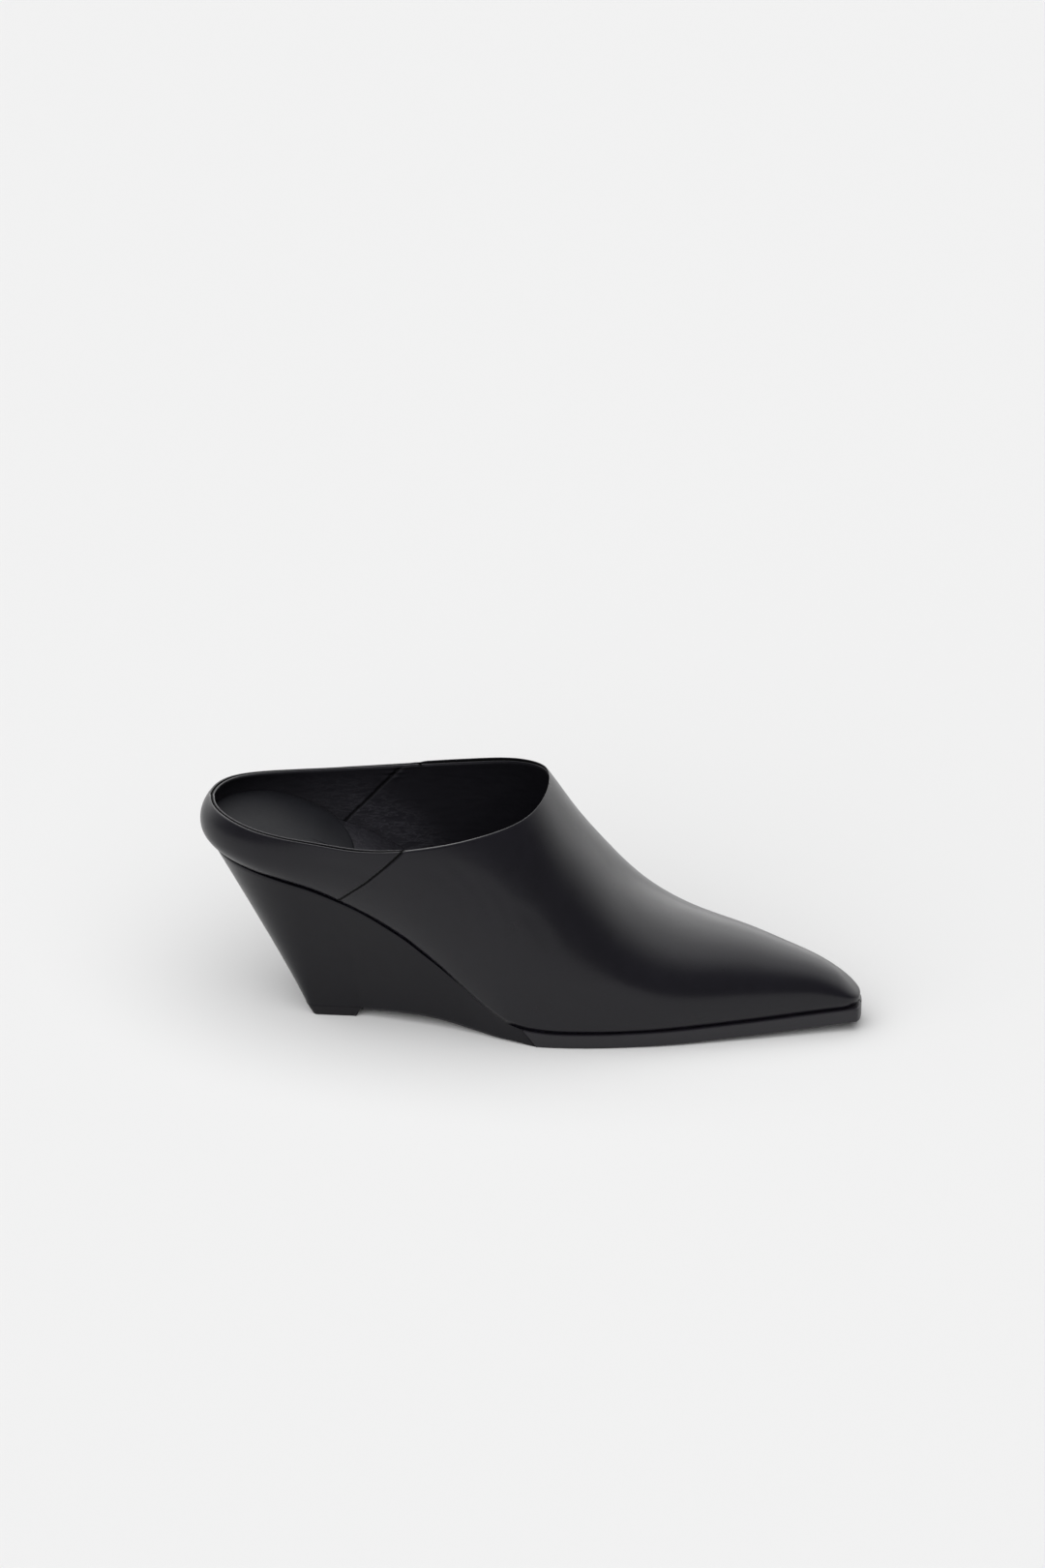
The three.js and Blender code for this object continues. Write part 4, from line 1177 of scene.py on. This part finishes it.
class MuleSole(bpy.types.Operator):
    """Builds the sole and the top piece under the wedge"""

    bl_idname = "mule.sole"
    bl_label = "Sole and top piece"

    def execute(self, context):
        shoe = Shoe(context.scene.mule_sizes)
        look = context.scene.mule_look
        rubber = sole_finish("sole_rubber", look, 0.42)
        put_piece("outsole_finished", "sole_rubber", "outsole", *sole_mesh(shoe), [rubber])
        rubber = sole_finish("top_piece_rubber", look, 0.5, strength=0.6)
        mesh = top_piece_mesh(shoe)
        put_piece("top_piece_finished", "top_piece_rubber", "top_piece", *mesh, [rubber])
        return {"FINISHED"}


class MuleFootbed(bpy.types.Operator):
    """Builds the insole and the heel pad"""

    bl_idname = "mule.footbed"
    bl_label = "Insole and heel pad"

    def execute(self, context):
        shoe = Shoe(context.scene.mule_sizes)
        look = context.scene.mule_look
        mesh = insole_mesh(shoe)
        leather = lining_leather("insole_lining", look)
        # Far from any seam, and a little wrinkled all over.
        marks = {"seam": np.full(len(mesh[0]), 20.0), "wrinkled": np.full(len(mesh[0]), 0.35)}
        put_piece("insole_finished", "lining_leather", "insole", *mesh, [leather], None, marks)
        leather = pad_leather("pad_leather", look)
        mesh = heel_pad_mesh(shoe)
        piece = put_piece("heel_pad_finished", "lining_leather", "heel_pad", *mesh, [leather])
        return {"FINISHED"}


class MuleStudio(bpy.types.Operator):
    """Builds the pale floor, the soft lights and the camera"""

    bl_idname = "mule.studio"
    bl_label = "Studio"

    def execute(self, context):
        scene = context.scene
        studio_floor()
        scene.world = studio_air()
        scene.world.cycles_visibility.diffuse = False
        scene.collection.objects.link(studio_lamp())
        scene.camera = studio_camera(Shoe(scene.mule_sizes))
        scene.collection.objects.link(scene.camera)
        scene.view_settings.view_transform = "Standard"
        return {"FINISHED"}


def studio_floor():
    """A wide sheet of pale paper."""
    drop_piece("paper_floor")
    shader = material_shader("paper")
    inputs = shader.tree.nodes["Principled BSDF"].inputs
    inputs["Base Color"].default_value = (0.8, 0.8, 0.8, 1.0)
    inputs["Roughness"].default_value = 0.9
    inputs["Specular IOR Level"].default_value = 0.0
    x, y = np.meshgrid([-3.0, 3.0], [-3.5, 4.5])
    points = np.stack([x.ravel(), y.ravel(), np.zeros(4)], axis=1)
    return put_object("paper_floor", points, np.array([[0, 1, 3, 2]]), [shader.owner])


def studio_lamp():
    """A very wide soft lamp overhead and a little in front, too broad to show as a highlight."""
    drop_piece("soft_lamp")
    lamp = bpy.data.lights.new("soft_lamp", "SUN")
    lamp.energy = 3.85
    lamp.angle = math.radians(114.0)
    holder = bpy.data.objects.new("soft_lamp", lamp)
    holder.rotation_euler = (math.radians(20.0), math.radians(-16.0), 0.0)
    holder.visible_glossy = False
    return holder


def studio_air():
    """The studio round the shoe as a world: dark in front, brighter overhead and a pale bright
    wall behind. It shows in the reflections alone."""
    shader = Shader(bpy.data.worlds.new("studio_air"))
    aim = shader.node("ShaderNodeSeparateXYZ", Vector=shader.places["Generated"]).outputs
    behind = Socket(shader.tree, aim["Y"]) + Socket(shader.tree, aim["Z"]) * 0.5
    ceiling = ((behind + 0.1) / 0.8).clamped() ** 1.6
    wall = ((behind - 0.85) / 0.2).clamped()
    background = shader.tree.nodes["Background"].inputs
    background["Color"].default_value = (1.0, 1.0, 1.0, 1.0)
    shader.fill(background["Strength"], 0.2 + ceiling * 1.5 + wall * 0.6)
    return shader.owner


def studio_camera(shoe):
    """The camera: how far away, how far round to the toe and how far up, with a long lens."""
    drop_piece("camera")
    lens = bpy.data.cameras.new("camera")
    lens.lens = VIEW["lens"]
    lens.sensor_fit = "VERTICAL"
    lens.sensor_height = VIEW["sensor"]
    lens.clip_end = 50.0
    around, up = math.radians(VIEW["around"]), math.radians(VIEW["up"])
    back = Vector((math.sin(around) * math.cos(up), -math.cos(around) * math.cos(up), math.sin(up)))
    target = Vector(((VIEW["along"] - shoe.origin) * MM, 0.0, VIEW["height"] * MM))
    holder = bpy.data.objects.new("camera", lens)
    holder.location = target + VIEW["away"] * back
    holder.rotation_euler = back.to_track_quat("Z", "Y").to_euler()
    return holder


class MulePanel(bpy.types.Panel):
    """Lists the shoe's sizes, colours and pieces"""

    bl_idname = "MULE_PT_pieces"
    bl_label = "Wedge mule"
    bl_space_type = "VIEW_3D"
    bl_region_type = "UI"
    bl_category = "Mule"

    def draw(self, context):
        for group in (context.scene.mule_sizes, context.scene.mule_look):
            column = self.layout.column()
            for key in group.__annotations__:
                column.prop(group, key)
        for operator in OPERATORS:
            self.layout.operator(operator.bl_idname)


GROUPS = (MuleSizes, MuleLook)
OPERATORS = (MuleUpper, MuleWedge, MuleSole, MuleFootbed, MuleStudio)


def register():
    for item in (*GROUPS, *OPERATORS, MulePanel):
        bpy.utils.register_class(item)
    bpy.types.Scene.mule_sizes = bpy.props.PointerProperty(type=MuleSizes)
    bpy.types.Scene.mule_look = bpy.props.PointerProperty(type=MuleLook)


def unregister():
    del bpy.types.Scene.mule_look
    del bpy.types.Scene.mule_sizes
    for item in reversed((*GROUPS, *OPERATORS, MulePanel)):
        bpy.utils.unregister_class(item)


def main():
    register()
    bpy.ops.mule.upper()
    bpy.ops.mule.wedge()
    bpy.ops.mule.sole()
    bpy.ops.mule.footbed()
    bpy.ops.mule.studio()


if __name__ == "__main__":
    main()
